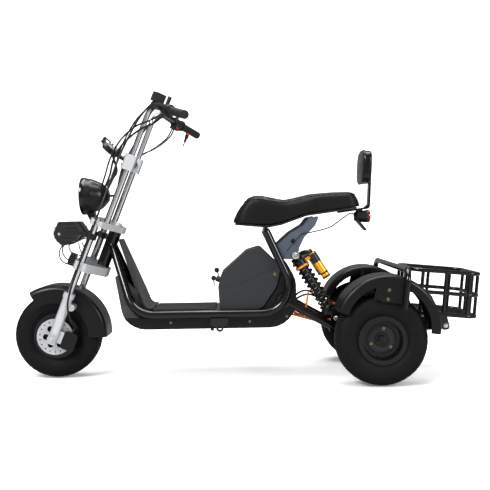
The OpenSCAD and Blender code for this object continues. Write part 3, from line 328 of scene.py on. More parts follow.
def finish(name, color, rough=0.4, metal=0.0, shade=0.35, scale=9.0, spread=0.15, grain=600.0, bump=0.05,
           height=None, coat=0.0, depth=0.0004, edge=None, gleam=0.5, **shader):
    """A material: uneven tone and gloss on Object coordinates, with a small bump of its own kind.

    Edge paints a darker tone where the surface turns away from the viewer, a painted reflection like the
    dark edges that bright metal shows in a white room.
    It gives the turn where that starts, the turn where it is full, and the share of dark."""
    mat = bpy.data.materials.new(name)
    mat.use_nodes = True
    t = mat.node_tree
    bsdf = t.nodes["Principled BSDF"]
    where = node(t, "ShaderNodeTexCoord").outputs["Object"]
    u = node(t, "ShaderNodeGroup", node_tree=GROUPS["mottle"])
    t.links.new(where, u.inputs["Vector"])
    for key, value in (("Color", (*color, 1)), ("Shade", shade), ("Scale", scale), ("Rough", rough),
                       ("Spread", spread), ("Grain", grain)):
        u.inputs[key].default_value = value
    tone = u.outputs["Color"]
    # Painted reflection: the base colour is darkened towards the painted dark tone where the surface faces
    # away from the viewer
    if edge:
        turned = node(t, "ShaderNodeLayerWeight", {"Blend": 0.5}).outputs["Facing"]
        start, full, dark = edge
        share = node(t, "ShaderNodeMapRange", {"Value": turned, "From Min": start, "From Max": full,
                                               "To Max": dark}).outputs[0]
        tone = mixed(t, share, tone, PAINTED_REFLECTION_TONE)
    t.links.new(tone, bsdf.inputs["Base Color"])
    t.links.new(u.outputs["Roughness"], bsdf.inputs["Roughness"])
    bsdf.inputs["Metallic"].default_value = metal
    bsdf.inputs["Specular IOR Level"].default_value = gleam
    bsdf.inputs["Coat Weight"].default_value = coat
    bsdf.inputs["Coat Roughness"].default_value = COAT_ROUGHNESS
    for key, value in shader.items():
        bsdf.inputs[key.replace("_", " ")].default_value = value
    source = u.outputs["Height"]
    if height == "hide":
        h = node(t, "ShaderNodeGroup", node_tree=GROUPS["grain"])
        t.links.new(where, h.inputs["Vector"])
        source = h.outputs["Height"]
    elif height is not None:
        h = node(t, "ShaderNodeGroup", node_tree=GROUPS["brushed"])
        t.links.new(where, h.inputs["Vector"])
        h.inputs["Stretch"].default_value = height
        source = h.outputs["Height"]
    b = node(t, "ShaderNodeBump", {"Strength": bump, "Distance": depth, "Height": source})
    t.links.new(b.outputs[0], bsdf.inputs["Normal"])
    return mat


# Finishes by short name, filled by the operator
M = {}


def make_finishes(p):
    """All finishes of the scooter, from the colours in the panel."""
    GROUPS.update(mottle=mottle_group(), grain=grain_group(), brushed=brushed_group())
    M.update(
        gloss=finish("gloss_black_paint", p.tube_black, 0.14, shade=0.5, spread=0.08, bump=0.02,
                     gleam=0.55),
        cover=finish("moulded_grey_cover", p.cover_grey, 0.42, shade=0.3, grain=1400, bump=0.25,
                     depth=0.0002, gleam=0.35),
        floor=finish("satin_floor_body", p.guard_black, 0.3, shade=0.3, grain=1400, bump=0.15, depth=0.0002,
                     gleam=0.25),
        guard=finish("dark_mudguard", p.guard_black, 0.3, shade=0.35, grain=1400, bump=0.12, depth=0.0002,
                     gleam=0.25),
        lamp=finish("lamp_shell_black", p.tube_black, 0.3, shade=0.3, bump=0.02, gleam=0.4),
        mat=finish("floor_mat_rubber", (0.007, 0.007, 0.0075), 0.75, grain=900, bump=0.5),
        hide=finish("seat_leatherette", p.seat_black, 0.42, shade=0.3, height="hide", bump=0.35,
                    depth=0.0003, gleam=0.2),
        vinyl=finish("backrest_vinyl", p.seat_black, 0.2, shade=0.2, height="hide", bump=0.12, depth=0.0002,
                     gleam=0.35),
        plate=finish("blue_grey_plate", p.plate_blue, 0.42, metal=0.35, shade=0.35, scale=25, bump=0.08),
        motor=finish("motor_casting", (0.3, 0.31, 0.32), 0.5, metal=0.9, shade=0.4, grain=900, bump=0.4),
        shock=finish("shock_black", (0.0035, 0.0035, 0.004), 0.34, gleam=0.35),
        gold=finish("reservoir_anodised", p.gold, 0.28, metal=0.55, shade=0.2, height=(60, 900, 60),
                    bump=0.06),
        orange=finish("orange_sleeve", p.orange, 0.45, shade=0.2),
        cable=finish("cable_sheath", (0.004, 0.004, 0.004), 0.4, shade=0.2),
        # Alloy and chrome carry a painted reflection: a darker tone painted where they turn away from the
        # viewer
        alloy=finish("satin_alloy", (0.62, 0.63, 0.65), 0.34, metal=0.45, shade=0.2, scale=18, grain=1200,
                     bump=0.12, edge=(0.25, 0.8, 0.5)),
        chrome=finish("bright_chrome", (0.86, 0.87, 0.89), 0.07, metal=0.9, shade=0.08, spread=0.05,
                      bump=0.0, edge=(0.06, 0.42, 0.96)),
        steel=finish("brushed_disc", (0.6, 0.61, 0.63), 0.3, metal=0.5, height=(900, 40, 900), bump=0.1),
        amber_metal=finish("collar_anodised", (0.9, 0.28, 0.015), 0.3, metal=0.45, shade=0.2),
        brass=finish("plated_bolt", (0.36, 0.29, 0.14), 0.34, metal=1.0, shade=0.3, scale=80),
        control=finish("control_plastic", (0.0045, 0.0045, 0.005), 0.42, grain=1600, bump=0.15,
                       depth=0.0002),
        grip=finish("grip_rubber", (0.006, 0.006, 0.006), 0.6, grain=1200, bump=0.3),
        tyre=finish("tyre_rubber", p.tyre_black, 0.62, shade=0.4, scale=14, grain=1500, bump=0.3,
                    depth=0.0003, gleam=0.16),
        rim=finish("rim_paint", p.rim_grey, 0.2, shade=0.4, scale=16, bump=0.05, gleam=0.35),
        red=finish("red_lens", (0.42, 0.008, 0.008), 0.15, coat=0.5, shade=0.1),
        smoke=finish("tail_glass", (0.12, 0.006, 0.007), 0.08, coat=0.8, shade=0.1),
        plate_dark=finish("hub_plate_paint", (0.018, 0.02, 0.025), 0.34, metal=0.3, shade=0.3, scale=20),
        bright=finish("lamp_reflector", (0.85, 0.86, 0.88), 0.12, metal=1.0, shade=0.05, bump=0.0),
        dial=finish("dial_face", (0.02, 0.02, 0.025), 0.4, shade=0.1),
        tick=finish("dial_ticks", (0.8, 0.82, 0.85), 0.5, shade=0.05),
        glass=finish("lamp_glass", (0.95, 0.97, 1.0), 0.03, shade=0.0, spread=0.0, bump=0.0,
                     Transmission_Weight=1.0, IOR=1.45),
    )


# The CAD nodes that have each finish
FINISH_NODES = {
    "gloss": ["main_frame", "backrest_bar", "rear_subframe", "rack_hoop", "basket", "stand_bracket"],
    "floor": ["belly_pan", "leg_shield"],
    "mat": ["deck_mat"],
    "cover": ["battery_box", "battery_lid"],
    "motor": ["battery_pack", "drive_motor"],
    "control": ["seat_pan", "tail_lamp", "control_left", "control_right", "driving_lamps", "gauge", "horn"],
    "hide": ["seat_cushion"],
    "vinyl": ["backrest_pad"],
    "plate": ["seat_brackets"],
    "shock": ["shock_dampers", "shock_springs", "brake_caliper"],
    "gold": ["shock_reservoirs"],
    "guard": ["mudguard_left", "mudguard_right", "front_mudguard"],
    "orange": ["motor_cable"],
    "alloy": ["fork_legs", "lower_clamp", "upper_clamp", "bar_clamp"],
    "chrome": ["fork_tubes", "bar_risers", "handlebar"],
    "grip": ["grips"],
    "lamp": ["headlamp"],
    "glass": ["headlamp_lens"],
    "cable": ["brake_hose", "wire_loom"],
    "steel": ["front_axle", "brake_disc"],
    "tyre": ["front_tyre", "rear_tyre_left", "rear_tyre_right"],
    "rim": ["front_rim", "rear_rim_left", "rear_rim_right"],
}
NODE_FINISH = {name: look for look, names in FINISH_NODES.items() for name in names}


class ScooterLooks(bpy.types.PropertyGroup):
    """Colours and sizes that a user would change."""
    tube_black: bpy.props.FloatVectorProperty(
        name="Tubes", description="Paint of the frame tubes", subtype="COLOR",
        default=(0.003, 0.003, 0.0035))
    cover_grey: bpy.props.FloatVectorProperty(
        name="Covers", description="Moulded body covers", subtype="COLOR", default=(0.021, 0.0225, 0.0255))
    guard_black: bpy.props.FloatVectorProperty(
        name="Mudguards", description="Plastic of the mudguards and the floor", subtype="COLOR",
        default=(0.0048, 0.005, 0.0056))
    seat_black: bpy.props.FloatVectorProperty(
        name="Seat", description="Seat and backrest cover", subtype="COLOR", default=(0.0045, 0.0045, 0.005))
    plate_blue: bpy.props.FloatVectorProperty(
        name="Seat plates", description="Paint of the seat's side plates", subtype="COLOR",
        default=(0.082, 0.103, 0.138))
    gold: bpy.props.FloatVectorProperty(
        name="Reservoirs", description="Shock reservoirs", subtype="COLOR", default=(0.95, 0.42, 0.03))
    orange: bpy.props.FloatVectorProperty(
        name="Cable", description="Motor cable", subtype="COLOR", default=(0.8, 0.17, 0.01))
    tyre_black: bpy.props.FloatVectorProperty(
        name="Tyres", description="Tyre rubber", subtype="COLOR", default=(0.0042, 0.0042, 0.0046))
    rim_grey: bpy.props.FloatVectorProperty(
        name="Rims", description="Paint of the rims", subtype="COLOR", default=(0.006, 0.006, 0.007))
    quilt: bpy.props.FloatProperty(
        name="Quilt", description="Side of a stitched diamond on the seat", default=0.05, min=0.02, max=0.1,
        unit="LENGTH")
    tread_depth: bpy.props.FloatProperty(
        name="Tread depth", description="Depth of the tyre grooves", default=0.0035, min=0.0, max=0.01,
        unit="LENGTH")
    tread_blocks: bpy.props.IntProperty(
        name="Tread blocks", description="Blocks round a tyre", default=44, min=20, max=80)


class SCOOTER_OT_finishes(bpy.types.Operator):
    """Makes every finish and puts it on the CAD nodes"""
    bl_idname = "scooter.finishes"
    bl_label = "Finishes"

    def execute(self, context):
        make_finishes(context.scene.scooter_looks)
        for name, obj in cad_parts.items():
            obj.data.materials.clear()
            obj.data.materials.append(M[NODE_FINISH[name]])
        return {"FINISHED"}


# Seat and backrest

def signed_power(v, p):
    """A value raised to a power with its sign kept."""
    return np.sign(v) * np.abs(v) ** p


def round_end(d, r):
    """Share of full height that a quarter circle of radius r reaches at the distance d from an end."""
    return np.sqrt(1 - (1 - np.clip(d / r, 0, 1)) ** 2)


# Lines of the seat: places along it, then the heights or half widths there
SEAT_START, SEAT_LENGTH, TOP_START, TOP_LENGTH = -0.04, 0.517, 0.012, 0.443
SEAT_UNDERSIDE = ([-0.04, 0.06, 0.101, 0.156, 0.256, 0.477],
                  [0.6312, 0.6218, 0.619, 0.629, 0.663, 0.6905])
SEAT_TOP = ([0.012, 0.045, 0.071, 0.12, 0.171, 0.22, 0.275, 0.36, 0.455],
            [0.726, 0.736, 0.7375, 0.727, 0.7165, 0.7265, 0.739, 0.745, 0.746])
SEAT_HALF = ([-0.04, 0.0, 0.04, 0.1, 0.16, 0.22, 0.29, 0.478],
             [0.098, 0.108, 0.112, 0.109, 0.106, 0.114, 0.1265, 0.1165])
# Steps along and round the seat, and the samples that smooth its lines
SEAT_STEPS, SEAT_AROUND, SMOOTHING = 190, 144, 23
# Radii of its corners seen from above and of its top edge, then its crown and its seams
SEAT_CORNER, SEAT_EDGE, SEAT_CROWN = 0.042, 0.016, 0.006
SEAM_DEPTH, SEAM_WIDTH = 0.0034, 0.0055
# Powers that make a section round or square
ROUND, SQUARE, PAD_POWER = 0.4, 0.12, 0.5
# Steps round the seat from its widest line up to the piping, and the piping's radius
PIPING_STEP, PIPING_R = 14, 0.0028
# The backrest: thickness, width and height, swell of its faces, and lean
PAD_SIZE, PAD_BULGE, PAD_LEAN = (0.036, 0.188, 0.136), 0.006, math.radians(3.3)


def seat_grid(quilt):
    """Loft along the seat: every section is a box between the underside and the top line, square below and
    round above. The ends lean, so the top is shorter than the base. Diamond seams are pressed into it."""
    s = np.linspace(0, 1, SEAT_STEPS)
    t = circle(SEAT_AROUND)
    c, d = np.cos(t)[None], np.sin(t)[None]
    base, roof = SEAT_START + SEAT_LENGTH * s, TOP_START + TOP_LENGTH * s
    window = np.hanning(SMOOTHING)[1:-1]
    lines = [np.interp(base, *SEAT_UNDERSIDE), np.interp(roof, *SEAT_TOP), np.interp(base, *SEAT_HALF)]
    padded = [np.pad(k, SMOOTHING // 2 - 1, mode="reflect", reflect_type="odd") for k in lines]
    low, top, half = (np.convolve(k, window / window.sum(), "valid") for k in padded)
    near = np.minimum(s, 1 - s) * SEAT_LENGTH
    half = half * (0.6 + 0.4 * round_end(near, SEAT_CORNER))
    top = top - 0.012 * (1 - round_end(near, SEAT_EDGE))
    power = np.where(d > 0, ROUND, SQUARE)
    y = half[:, None] * signed_power(c, power)
    v = signed_power(d, power)
    z = ((top + low) / 2)[:, None] + ((top - low) / 2)[:, None] * v
    above = np.clip(d * 4, 0, 1)
    z = z + SEAT_CROWN * (1 - (y / half[:, None]) ** 2) * above * round_end(near, 0.05)[:, None]
    x = base[:, None] + (roof - base)[:, None] * np.clip((v + 1) / 2, 0, 1) ** 1.8
    a, b = (x + y) / quilt, (x - y) / quilt
    seam = np.minimum(np.abs(a - np.round(a)), np.abs(b - np.round(b))) * quilt
    flat = ramp(d, 0.35, 0.25) * fall(np.abs(y / half[:, None]), 0.95, 0.05)
    z = z - SEAM_DEPTH * np.exp(-(seam / SEAM_WIDTH) ** 2) * flat * round_end(near, 0.03)[:, None]
    return np.stack([x, y, z], -1)


def pad_shape(centre, lean, size, bulge):
    """A cushion form: a rounded slab whose two faces swell by a cosine across both widths."""
    thick, wide, tall = size
    a, b = np.meshgrid(np.linspace(-1, 1, 60), circle(96), indexing="ij")
    ring = (1 - np.abs(a) ** 4) ** 0.25
    pole = fall(np.abs(a), 1, 0.03) ** 0.5
    y = wide / 2 * signed_power(np.cos(b), PAD_POWER) * (0.86 + 0.14 * ring) * (0.985 + 0.015 * pole)
    z = tall / 2 * signed_power(np.sin(b), PAD_POWER) * (0.86 + 0.14 * ring) * (0.985 + 0.015 * pole)
    pts = np.stack([a * thick / 2, y, z], -1)
    share = np.linspace(0, 1, 30)[1:, None]
    fy, fz = pts[-1, :, 1][None] * share, pts[-1, :, 2][None] * share
    swell = bulge * np.cos(np.pi / 2 * fy / (wide / 2)) * np.cos(np.pi / 2 * fz / (tall / 2))
    back = np.stack([np.full_like(fy, thick / 2) + swell, fy, fz], -1)[::-1]
    front = np.stack([np.full_like(fy, -thick / 2) - swell, fy, fz], -1)
    pts = np.concatenate([front, pts[1:-1], back])
    r = np.array(Matrix.Rotation(lean, 3, "Y"))
    return shell(pts @ r.T + np.asarray(centre))


class SCOOTER_OT_seat(bpy.types.Operator):
    """Makes the quilted seat, the backrest pad and the piping of both"""
    bl_idname = "scooter.seat"
    bl_label = "Seat and backrest"

    def execute(self, context):
        p = context.scene.scooter_looks
        grid = seat_grid(p.quilt)
        seat = piece("seat_quilted", shell(grid), "hide", "chassis", ["seat_cushion"])
        right, left = grid[2:-2, PIPING_STEP], grid[2:-2, SEAT_AROUND // 2 - PIPING_STEP]
        loop = np.concatenate([right, left[::-1]])
        piece("seat_piping", tube(loop, PIPING_R, 8, closed=True), "hide", "chassis")
        lo, hi = (np.array(c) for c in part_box("backrest_pad"))
        mid = (lo + hi) / 2
        pad = piece("backrest_cushion", pad_shape(mid, PAD_LEAN, PAD_SIZE, PAD_BULGE), "vinyl",
                    "chassis", ["backrest_pad"])
        t = circle(120)
        ring = np.stack([0.0 * t - 0.012, 0.0945 * signed_power(np.cos(t), PAD_POWER),
                         0.0685 * signed_power(np.sin(t), PAD_POWER)], -1)
        ring = ring @ np.array(Matrix.Rotation(PAD_LEAN, 3, "Y")).T + mid
        piece("backrest_piping", tube(ring, 0.003, 8, closed=True), "vinyl", "chassis")
        return {"FINISHED"}


# Wheels

# Half of a tyre's section from the bead to the crown: radii, then the half widths there
TYRE_R = np.array([0.0842, 0.089, 0.098, 0.108, 0.122, 0.137, 0.15, 0.16, 0.168, 0.173, 0.1765, 0.178])
TYRE_Y = np.array([0.0515, 0.054, 0.057, 0.063, 0.0685, 0.0698, 0.068, 0.064, 0.0565, 0.046, 0.027, 0.0])
TYRE_STEPS, SECTION_STEPS, TYRE_HALF = 528, 46, 0.07
# Raised rings on the side wall: radius and half width of each
TYRE_RIBS, RIB_HEIGHT = ((0.112, 0.003), (0.14, 0.002)), 0.0008
# Wheels by name: middle, body and the CAD tyre
WHEELS = {
    "front": ((FRONT_X, 0, AXLE_Z), "front_wheel", "front_tyre"),
    "rear_left": ((REAR_X, -TRACK_Y, AXLE_Z), "rear_wheel_left", "rear_tyre_left"),
    "rear_right": ((REAR_X, TRACK_Y, AXLE_Z), "rear_wheel_right", "rear_tyre_right"),
}
HUB_PLATE = [(29.5, -0.5), (29.5, 4), (54, 4), (56, 2.5), (56, -0.5)]
# Faces of the hub out from the tyre's middle plane, then of the plate and the shaft's end out from the hub
HUB_FACE, PLATE_FACE, SHAFT_END = 0.026, 0.004, 0.0202
BOLT_CIRCLE, BOLT_ANGLES = 0.044, (80, 200, 320)


def tyre_shape(centre, depth, blocks):
    """A tyre's section turned round its axle, with slanting and straight grooves pressed into the crown."""
    run = np.concatenate([[0], np.cumsum(np.hypot(np.diff(TYRE_R), np.diff(TYRE_Y)))])
    s = np.linspace(0, run[-1], SECTION_STEPS)
    r = np.interp(s, run, TYRE_R)
    y = np.interp(s, run, TYRE_Y)
    r, y = np.concatenate([r, r[-2::-1]]), np.concatenate([y, -y[-2::-1]])
    phi = circle(TYRE_STEPS)
    v = np.abs(y) / TYRE_HALF
    slant = (phi[None] * blocks / (2 * np.pi) + 0.9 * v[:, None] * np.sign(y)[:, None]) % 1.0
    slot = fall(np.abs(slant - 0.5), 0.09, 0.04) * ramp(v[:, None], 0.26, 0.05)
    slot = slot * fall(v[:, None], 0.8, 0.05)
    ring = fall(np.abs(v - 0.24), 0.03, 0.015) + fall(np.abs(v - 0.56), 0.03, 0.015)
    groove = np.maximum(0.7 * slot, ring[:, None]) * ramp(r, 0.15, 0.008)[:, None]
    rib = sum(RIB_HEIGHT * (np.abs((r - middle) / half) < 1) for middle, half in TYRE_RIBS)
    rr = r[:, None] - depth * groove
    yy = (y + np.sign(y) * rib)[:, None] * (1 - 0.03 * groove)
    pts = np.stack([rr * np.cos(phi), yy, rr * np.sin(phi)], -1) + np.asarray(centre)
    verts, faces = shell(pts, caps=False)
    j = np.arange(TYRE_STEPS)
    k = (j + 1) % TYRE_STEPS
    far = (len(r) - 1) * TYRE_STEPS
    inside = np.stack([j, k, k + far, j + far], -1)
    return verts, [f[:, ::-1] for f in faces + [inside]]


class SCOOTER_OT_wheels(bpy.types.Operator):
    """Makes the treaded tyres and the wheels' plates, bolts and valves"""
    bl_idname = "scooter.wheels"
    bl_label = "Wheels"

    def execute(self, context):
        p = context.scene.scooter_looks
        for name, (centre, body, cad) in WHEELS.items():
            piece(name + "_treaded_tyre", tyre_shape(centre, p.tread_depth, p.tread_blocks), "tyre", body,
                  [cad])
        for side, tag in ((-1, "_left"), (1, "_right")):
            body = "rear_wheel" + tag
            out = (0, side, 0)
            c = np.array([REAR_X, side * (TRACK_Y + HUB_FACE), AXLE_Z])
            piece("hub_plate" + tag, lathe(HUB_PLATE, c, out, steps=64), "plate_dark", body)
            a = np.radians(BOLT_ANGLES)
            at = c + BOLT_CIRCLE * np.stack([np.cos(a), 0 * a, np.sin(a)], -1) + (0, side * PLATE_FACE, 0)
            piece("rim_bolts" + tag, join([hex_head(q, out, 0.0048, 0.005) for q in at]), "brass", body)
            cap = c + (0, side * SHAFT_END, 0)
            stem = spline([c + (-0.012, -side * 0.004, -0.066), c + (-0.0125, side * 0.012, -0.07),
                           c + (-0.013, side * 0.03, -0.073)], 12)
            piece("hub_nut" + tag, join([hex_head(cap, out, 0.0125, 0.008, 1.3), tube(stem, 0.0042, 12)]),
                  "shock", body)
        return {"FINISHED"}


# Lamps, gauge and controls

# Turned outlines in millimetres: radius, then distance along the axis
HEADLAMP_RIM = [(75.5, 16), (77.5, 12), (77.8, 2), (76.5, -3), (72, -5), (69, -3), (68.8, 3), (75.2, 4)]
DRIVING_RING = [(27, 24), (27, -4), (25, -7), (22, -6), (21.5, 2)]
DRIVING_LENS = [(0.1, -6), (10, -5), (18, -1), (21.5, 3)]
GAUGE_BEZEL = [(44.5, 0), (46.2, 4), (46.2, 11), (44.5, 14.5), (41, 14.5), (39.5, 11.5)]
GAUGE_DIAL = [(0.1, 11.6), (39.5, 11.6)]
TAIL_LENS = [(26.2, -12), (26.5, -4), (24.5, 1.5), (16, 4.5), (0.1, 5.5)]
KEY_HEAD = [(0.1, -3), (9.5, -3), (10.5, -2), (10.5, 2), (9.5, 3), (0.1, 3)]
GAUGE_AT = np.array([FRONT_X + 0.231, 0, AXLE_Z + 0.779])
GAUGE_UP = np.array([math.sin(math.pi / 4), 0, math.cos(math.pi / 4)])
# Marks on the gauge: how many, the first angle and the step in degrees, half width, outer end and height
TICKS, TICK_FIRST, TICK_STEP, TICK_HALF, TICK_END, TICK_UP = 13, -30, 20, 0.0006, 0.036, 0.0121


def tick_shape(k):
    """One mark on the gauge: a flat strip along a spoke of the dial, longer at every third mark."""
    e1, e2 = across(GAUGE_UP)
    t = math.radians(TICK_FIRST + TICK_STEP * k)
    d = math.cos(t) * e1 + math.sin(t) * e2
    w = np.cross(GAUGE_UP, d) * TICK_HALF
    near, far = GAUGE_AT + d * (0.027 if k % 3 == 0 else 0.031), GAUGE_AT + d * TICK_END
    strip = np.array([[near - w, far - w], [near + w, far + w]]) + GAUGE_UP * TICK_UP
    return shell(strip, close_v=False, caps=False)


class SCOOTER_OT_lamps(bpy.types.Operator):
    """Makes the headlamp's rim and reflector, the driving lamps' lenses, the gauge and the tail lens"""
    bl_idname = "scooter.lamps"
    bl_label = "Lamps and gauge"

    def execute(self, context):
        lo, hi = (np.array(c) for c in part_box("headlamp_lens"))
        front = np.array([lo[0] + 0.007, 0, (lo[2] + hi[2]) / 2])
        piece("headlamp_rim", lathe(HEADLAMP_RIM + HEADLAMP_RIM[:1], front, BACK, steps=72),
              "gloss", "steering")
        bowl = [(66 * math.sin(t), 56 * math.cos(t) + 12) for t in np.linspace(0.02, 1.45, 16)]
        piece("headlamp_reflector", lathe(bowl[::-1], front, BACK, steps=72), "bright", "steering")
        dome = [(11 * math.sin(t), 28 - 12 * math.cos(t)) for t in np.linspace(0.2, 2, 8)]
        bulb = [(0.1, 16)] + dome + [(9, 66)]
        piece("headlamp_bulb", lathe(bulb, front, BACK, steps=32, caps=True), "glass", "steering")
        lamps = [np.array([FRONT_X + 0.01, side * 0.059, AXLE_Z + 0.424]) for side in (-1, 1)]
        rings = [lathe(DRIVING_RING, c, BACK, steps=40) for c in lamps]
        lenses = [lathe(DRIVING_LENS, c, BACK, steps=40) for c in lamps]
        piece("driving_lamp_rings", join(rings), "alloy", "steering")
        piece("driving_lamp_lenses", join(lenses), "bright", "steering")
        piece("gauge_bezel", lathe(GAUGE_BEZEL, GAUGE_AT, GAUGE_UP, steps=64), "chrome", "steering")
        piece("gauge_dial", lathe(GAUGE_DIAL, GAUGE_AT, GAUGE_UP, steps=64), "dial", "steering")
        ticks = join([tick_shape(k) for k in range(TICKS)])
        piece("gauge_ticks", ticks, "tick", "steering", smooth=False)
        lo, hi = (np.array(c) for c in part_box("tail_lamp"))
        tail = (lo[0] + 0.0625, 0, hi[2] - 0.027)
        piece("tail_lens", lathe(TAIL_LENS, tail, BACK, steps=48), "smoke", "chassis")
        return {"FINISHED"}


def key_shape(top, down, flat):
    """A key: a round flat head and a narrow blade below it, each turned or carried through its thickness."""
    top, down, flat = (np.asarray(k, float) for k in (top, down, flat))
    head = lathe(KEY_HEAD, top, flat, steps=32)
    side = np.cross(down, flat)
    edge = np.array([[-1, 0.008], [1, 0.008], [1, 0.033], [0.2, 0.037], [-1, 0.034]])
    rim = top + edge[:, :1] * 0.0034 * side + edge[:, 1:] * down
    return head, shell(np.stack([rim - 0.001 * flat, rim + 0.001 * flat]))


# Bolts and trim

# Bolt heads on the left-hand side: place, radius, height and, where it differs, the washer's share
CHEEK_BOLTS = [((0.543, CHEEK_Y, 0.372), 0.0048, 0.005), ((0.538, CHEEK_Y, 0.338), 0.0048, 0.005)]
CHASSIS_BOLTS = [((0.209, -0.1257, 0.497), 0.009, 0.007, 1.7), ((0.368, -0.1237, 0.24), 0.008, 0.006),
                 ((0.812, -0.124, 0.202), 0.007, 0.006)]
FORK_BOLTS = [(steer(0, -0.1425, 0.5), 0.0055, 0.006), (steer(0, -0.1425, 0.314), 0.0065, 0.007),
              (steer(0, -0.152, 0), 0.012, 0.009)]
RISER_BOLTS = [(steer(0.01, -y, w), 0.0045, 0.005) for y in (0.078, 0.102) for w in (0.757, 0.791)]
PLATE_KNOBS = [((0.2, PLATE_Y, 0.554), 0.0075, 0.012, 1.2)]
PAN_SCREWS = [((-0.3, PAN_Y, 0.232), 0.004, 0.003, 1.3), ((0.02, PAN_Y, 0.232), 0.004, 0.003, 1.3),
              ((0.17, PAN_Y, 0.25), 0.004, 0.003, 1.3), ((0.125, BOX_Y, 0.421), 0.0055, 0.003, 1.3)]
LAMP_SCREWS = [((-0.748, LAMP_Y, 0.598), 0.0045, 0.003)]
PLATE_SLOT = [(0.174, -0.1186, 0.515), (0.205, -0.1186, 0.5495), (0.236, -0.1186, 0.584)]
# Lines on the lamp's side and ribs on the mat: the places along them, then the rows
FIN_X, FIN_Y, FIN_ROWS = (-0.735, -0.7, -0.672), -0.0944, (0.572, 0.586, 0.612, 0.626)
RIB_X, RIB_ROWS = (-0.366, -0.245, -0.123), np.linspace(-0.108, 0.108, 19)
LOCK = np.array([-0.1155, -0.07, 0.4045])
# The rear mudguard's middle line and outer radius, and the reflector's angle on it and its outline
GUARD_X, GUARD_Y, GUARD_Z, GUARD_R = 0.541, -0.3, 0.228, 0.2004
REFLECTOR_ANGLE = math.radians(34)
REFLECTOR = [(13.5, 0), (13.5, 3), (11, 5), (0.1, 6)]


def heads(rows, axis=LEFT):
    """Bolt heads on one axis from the rows of a table."""
    return [hex_head(place, axis, *sizes) for place, *sizes in rows]


class SCOOTER_OT_trim(bpy.types.Operator):
    """Makes the bolts, keys and small trim"""
    bl_idname = "scooter.trim"
    bl_label = "Bolts and trim"

    def execute(self, context):
        piece("cheek_bolts", both_sides(heads(CHEEK_BOLTS)), "brass", "chassis")
        piece("chassis_bolts", both_sides(heads(CHASSIS_BOLTS)), "chrome", "chassis")
        clamps = heads(FORK_BOLTS) + heads(RISER_BOLTS, FORK_FRONT)
        piece("fork_bolts", both_sides(clamps), "steel", "steering")
        slot = tube(spline(PLATE_SLOT, 20), 0.0026, 10)
        piece("plate_slots", both_sides([slot]), "cable", "chassis")
        piece("plate_knobs", both_sides(heads(PLATE_KNOBS)), "shock", "chassis")
        piece("pan_screws", both_sides(heads(PAN_SCREWS)), "brass", "chassis")
        fins = [line([(x, FIN_Y, z) for x in FIN_X], 0.0024, 12) for z in FIN_ROWS]
        piece("lamp_screws", both_sides(heads(LAMP_SCREWS)), "chrome", "steering")
        piece("lamp_fins", both_sides(fins), "shock", "steering")
        ribs = [line([(x, y, MAT_TOP) for x in RIB_X], 0.0013, 8, 8) for y in RIB_ROWS]
        piece("mat_ribs", join(ribs), "mat", "chassis")
        one = key_shape(LOCK + (0.004, 0, 0.0345), (0.3, 0, -0.95), (0, 1, 0))
        two = key_shape(LOCK + (-0.009, -0.004, 0.002), (0.05, 0, -0.99), (0, 1, 0))
        piece("key_heads", join([one[0], two[0]]), "control", "lid")
        piece("key_blades", join([one[1], two[1]]), "chrome", "lid")
        out = np.array([math.cos(REFLECTOR_ANGLE), 0, math.sin(REFLECTOR_ANGLE)])
        spot = np.array([GUARD_X, GUARD_Y, GUARD_Z]) + GUARD_R * out
        piece("guard_reflectors", both_sides([lathe(REFLECTOR, spot, out, steps=32)]), "red",
              "chassis")
        return {"FINISHED"}


# Shocks

# Turned outlines in millimetres: radius, then distance along the shock
COLLAR = [(20, 0), (29.6, 0), (30.3, 1), (30.3, 7), (29.6, 8), (20, 8)]
RESERVOIR_CAP = [(16.8, 0), (17.6, 1), (17.6, 40), (14, 44.5), (0.1, 45)]
RESERVOIR_RING = [(16.8, 0), (17.4, 1), (17.4, 6), (16.8, 7)]
# The bridge to the reservoir: distances up the shock and behind it
BRIDGE = [(0.272, 0.012), (0.276, 0.03), (0.272, 0.048), (0.262, 0.058)]
RESERVOIR_BACK, RING_HEIGHTS = 0.06, (0.1585, 0.176)
SHOCK_UP = unit(SHOCK_TOP - SHOCK_LOW)
SHOCK_BACK = np.array([SHOCK_UP[2], 0, -SHOCK_UP[0]])


def on_shock(along, behind=0.0):
    """A point at a distance up the left shock from its lower eye, and at a distance behind it."""
    return SHOCK_LOW + along * SHOCK_UP + behind * SHOCK_BACK


class SCOOTER_OT_shocks(bpy.types.Operator):
    """Makes the collars and the reservoir links of both shocks"""
    bl_idname = "scooter.shocks"
    bl_label = "Shock details"

    def execute(self, context):
        collar = lathe(COLLAR, on_shock(0.2452), SHOCK_UP, steps=48)
        piece("spring_collars", both_sides([collar]), "amber_metal", "chassis")
        cap = lathe(RESERVOIR_CAP, on_shock(0.2305, RESERVOIR_BACK), SHOCK_UP, steps=40)
        bridge = line([on_shock(*q) for q in BRIDGE], 0.0108, 24, 16)
        piece("reservoir_links", both_sides([cap, bridge]), "plate_dark", "chassis")
        rings = [lathe(RESERVOIR_RING, on_shock(h, RESERVOIR_BACK), SHOCK_UP, steps=40)
                 for h in RING_HEIGHTS]
        piece("reservoir_rings", both_sides(rings), "shock", "chassis")
        return {"FINISHED"}


# Hoses and wires

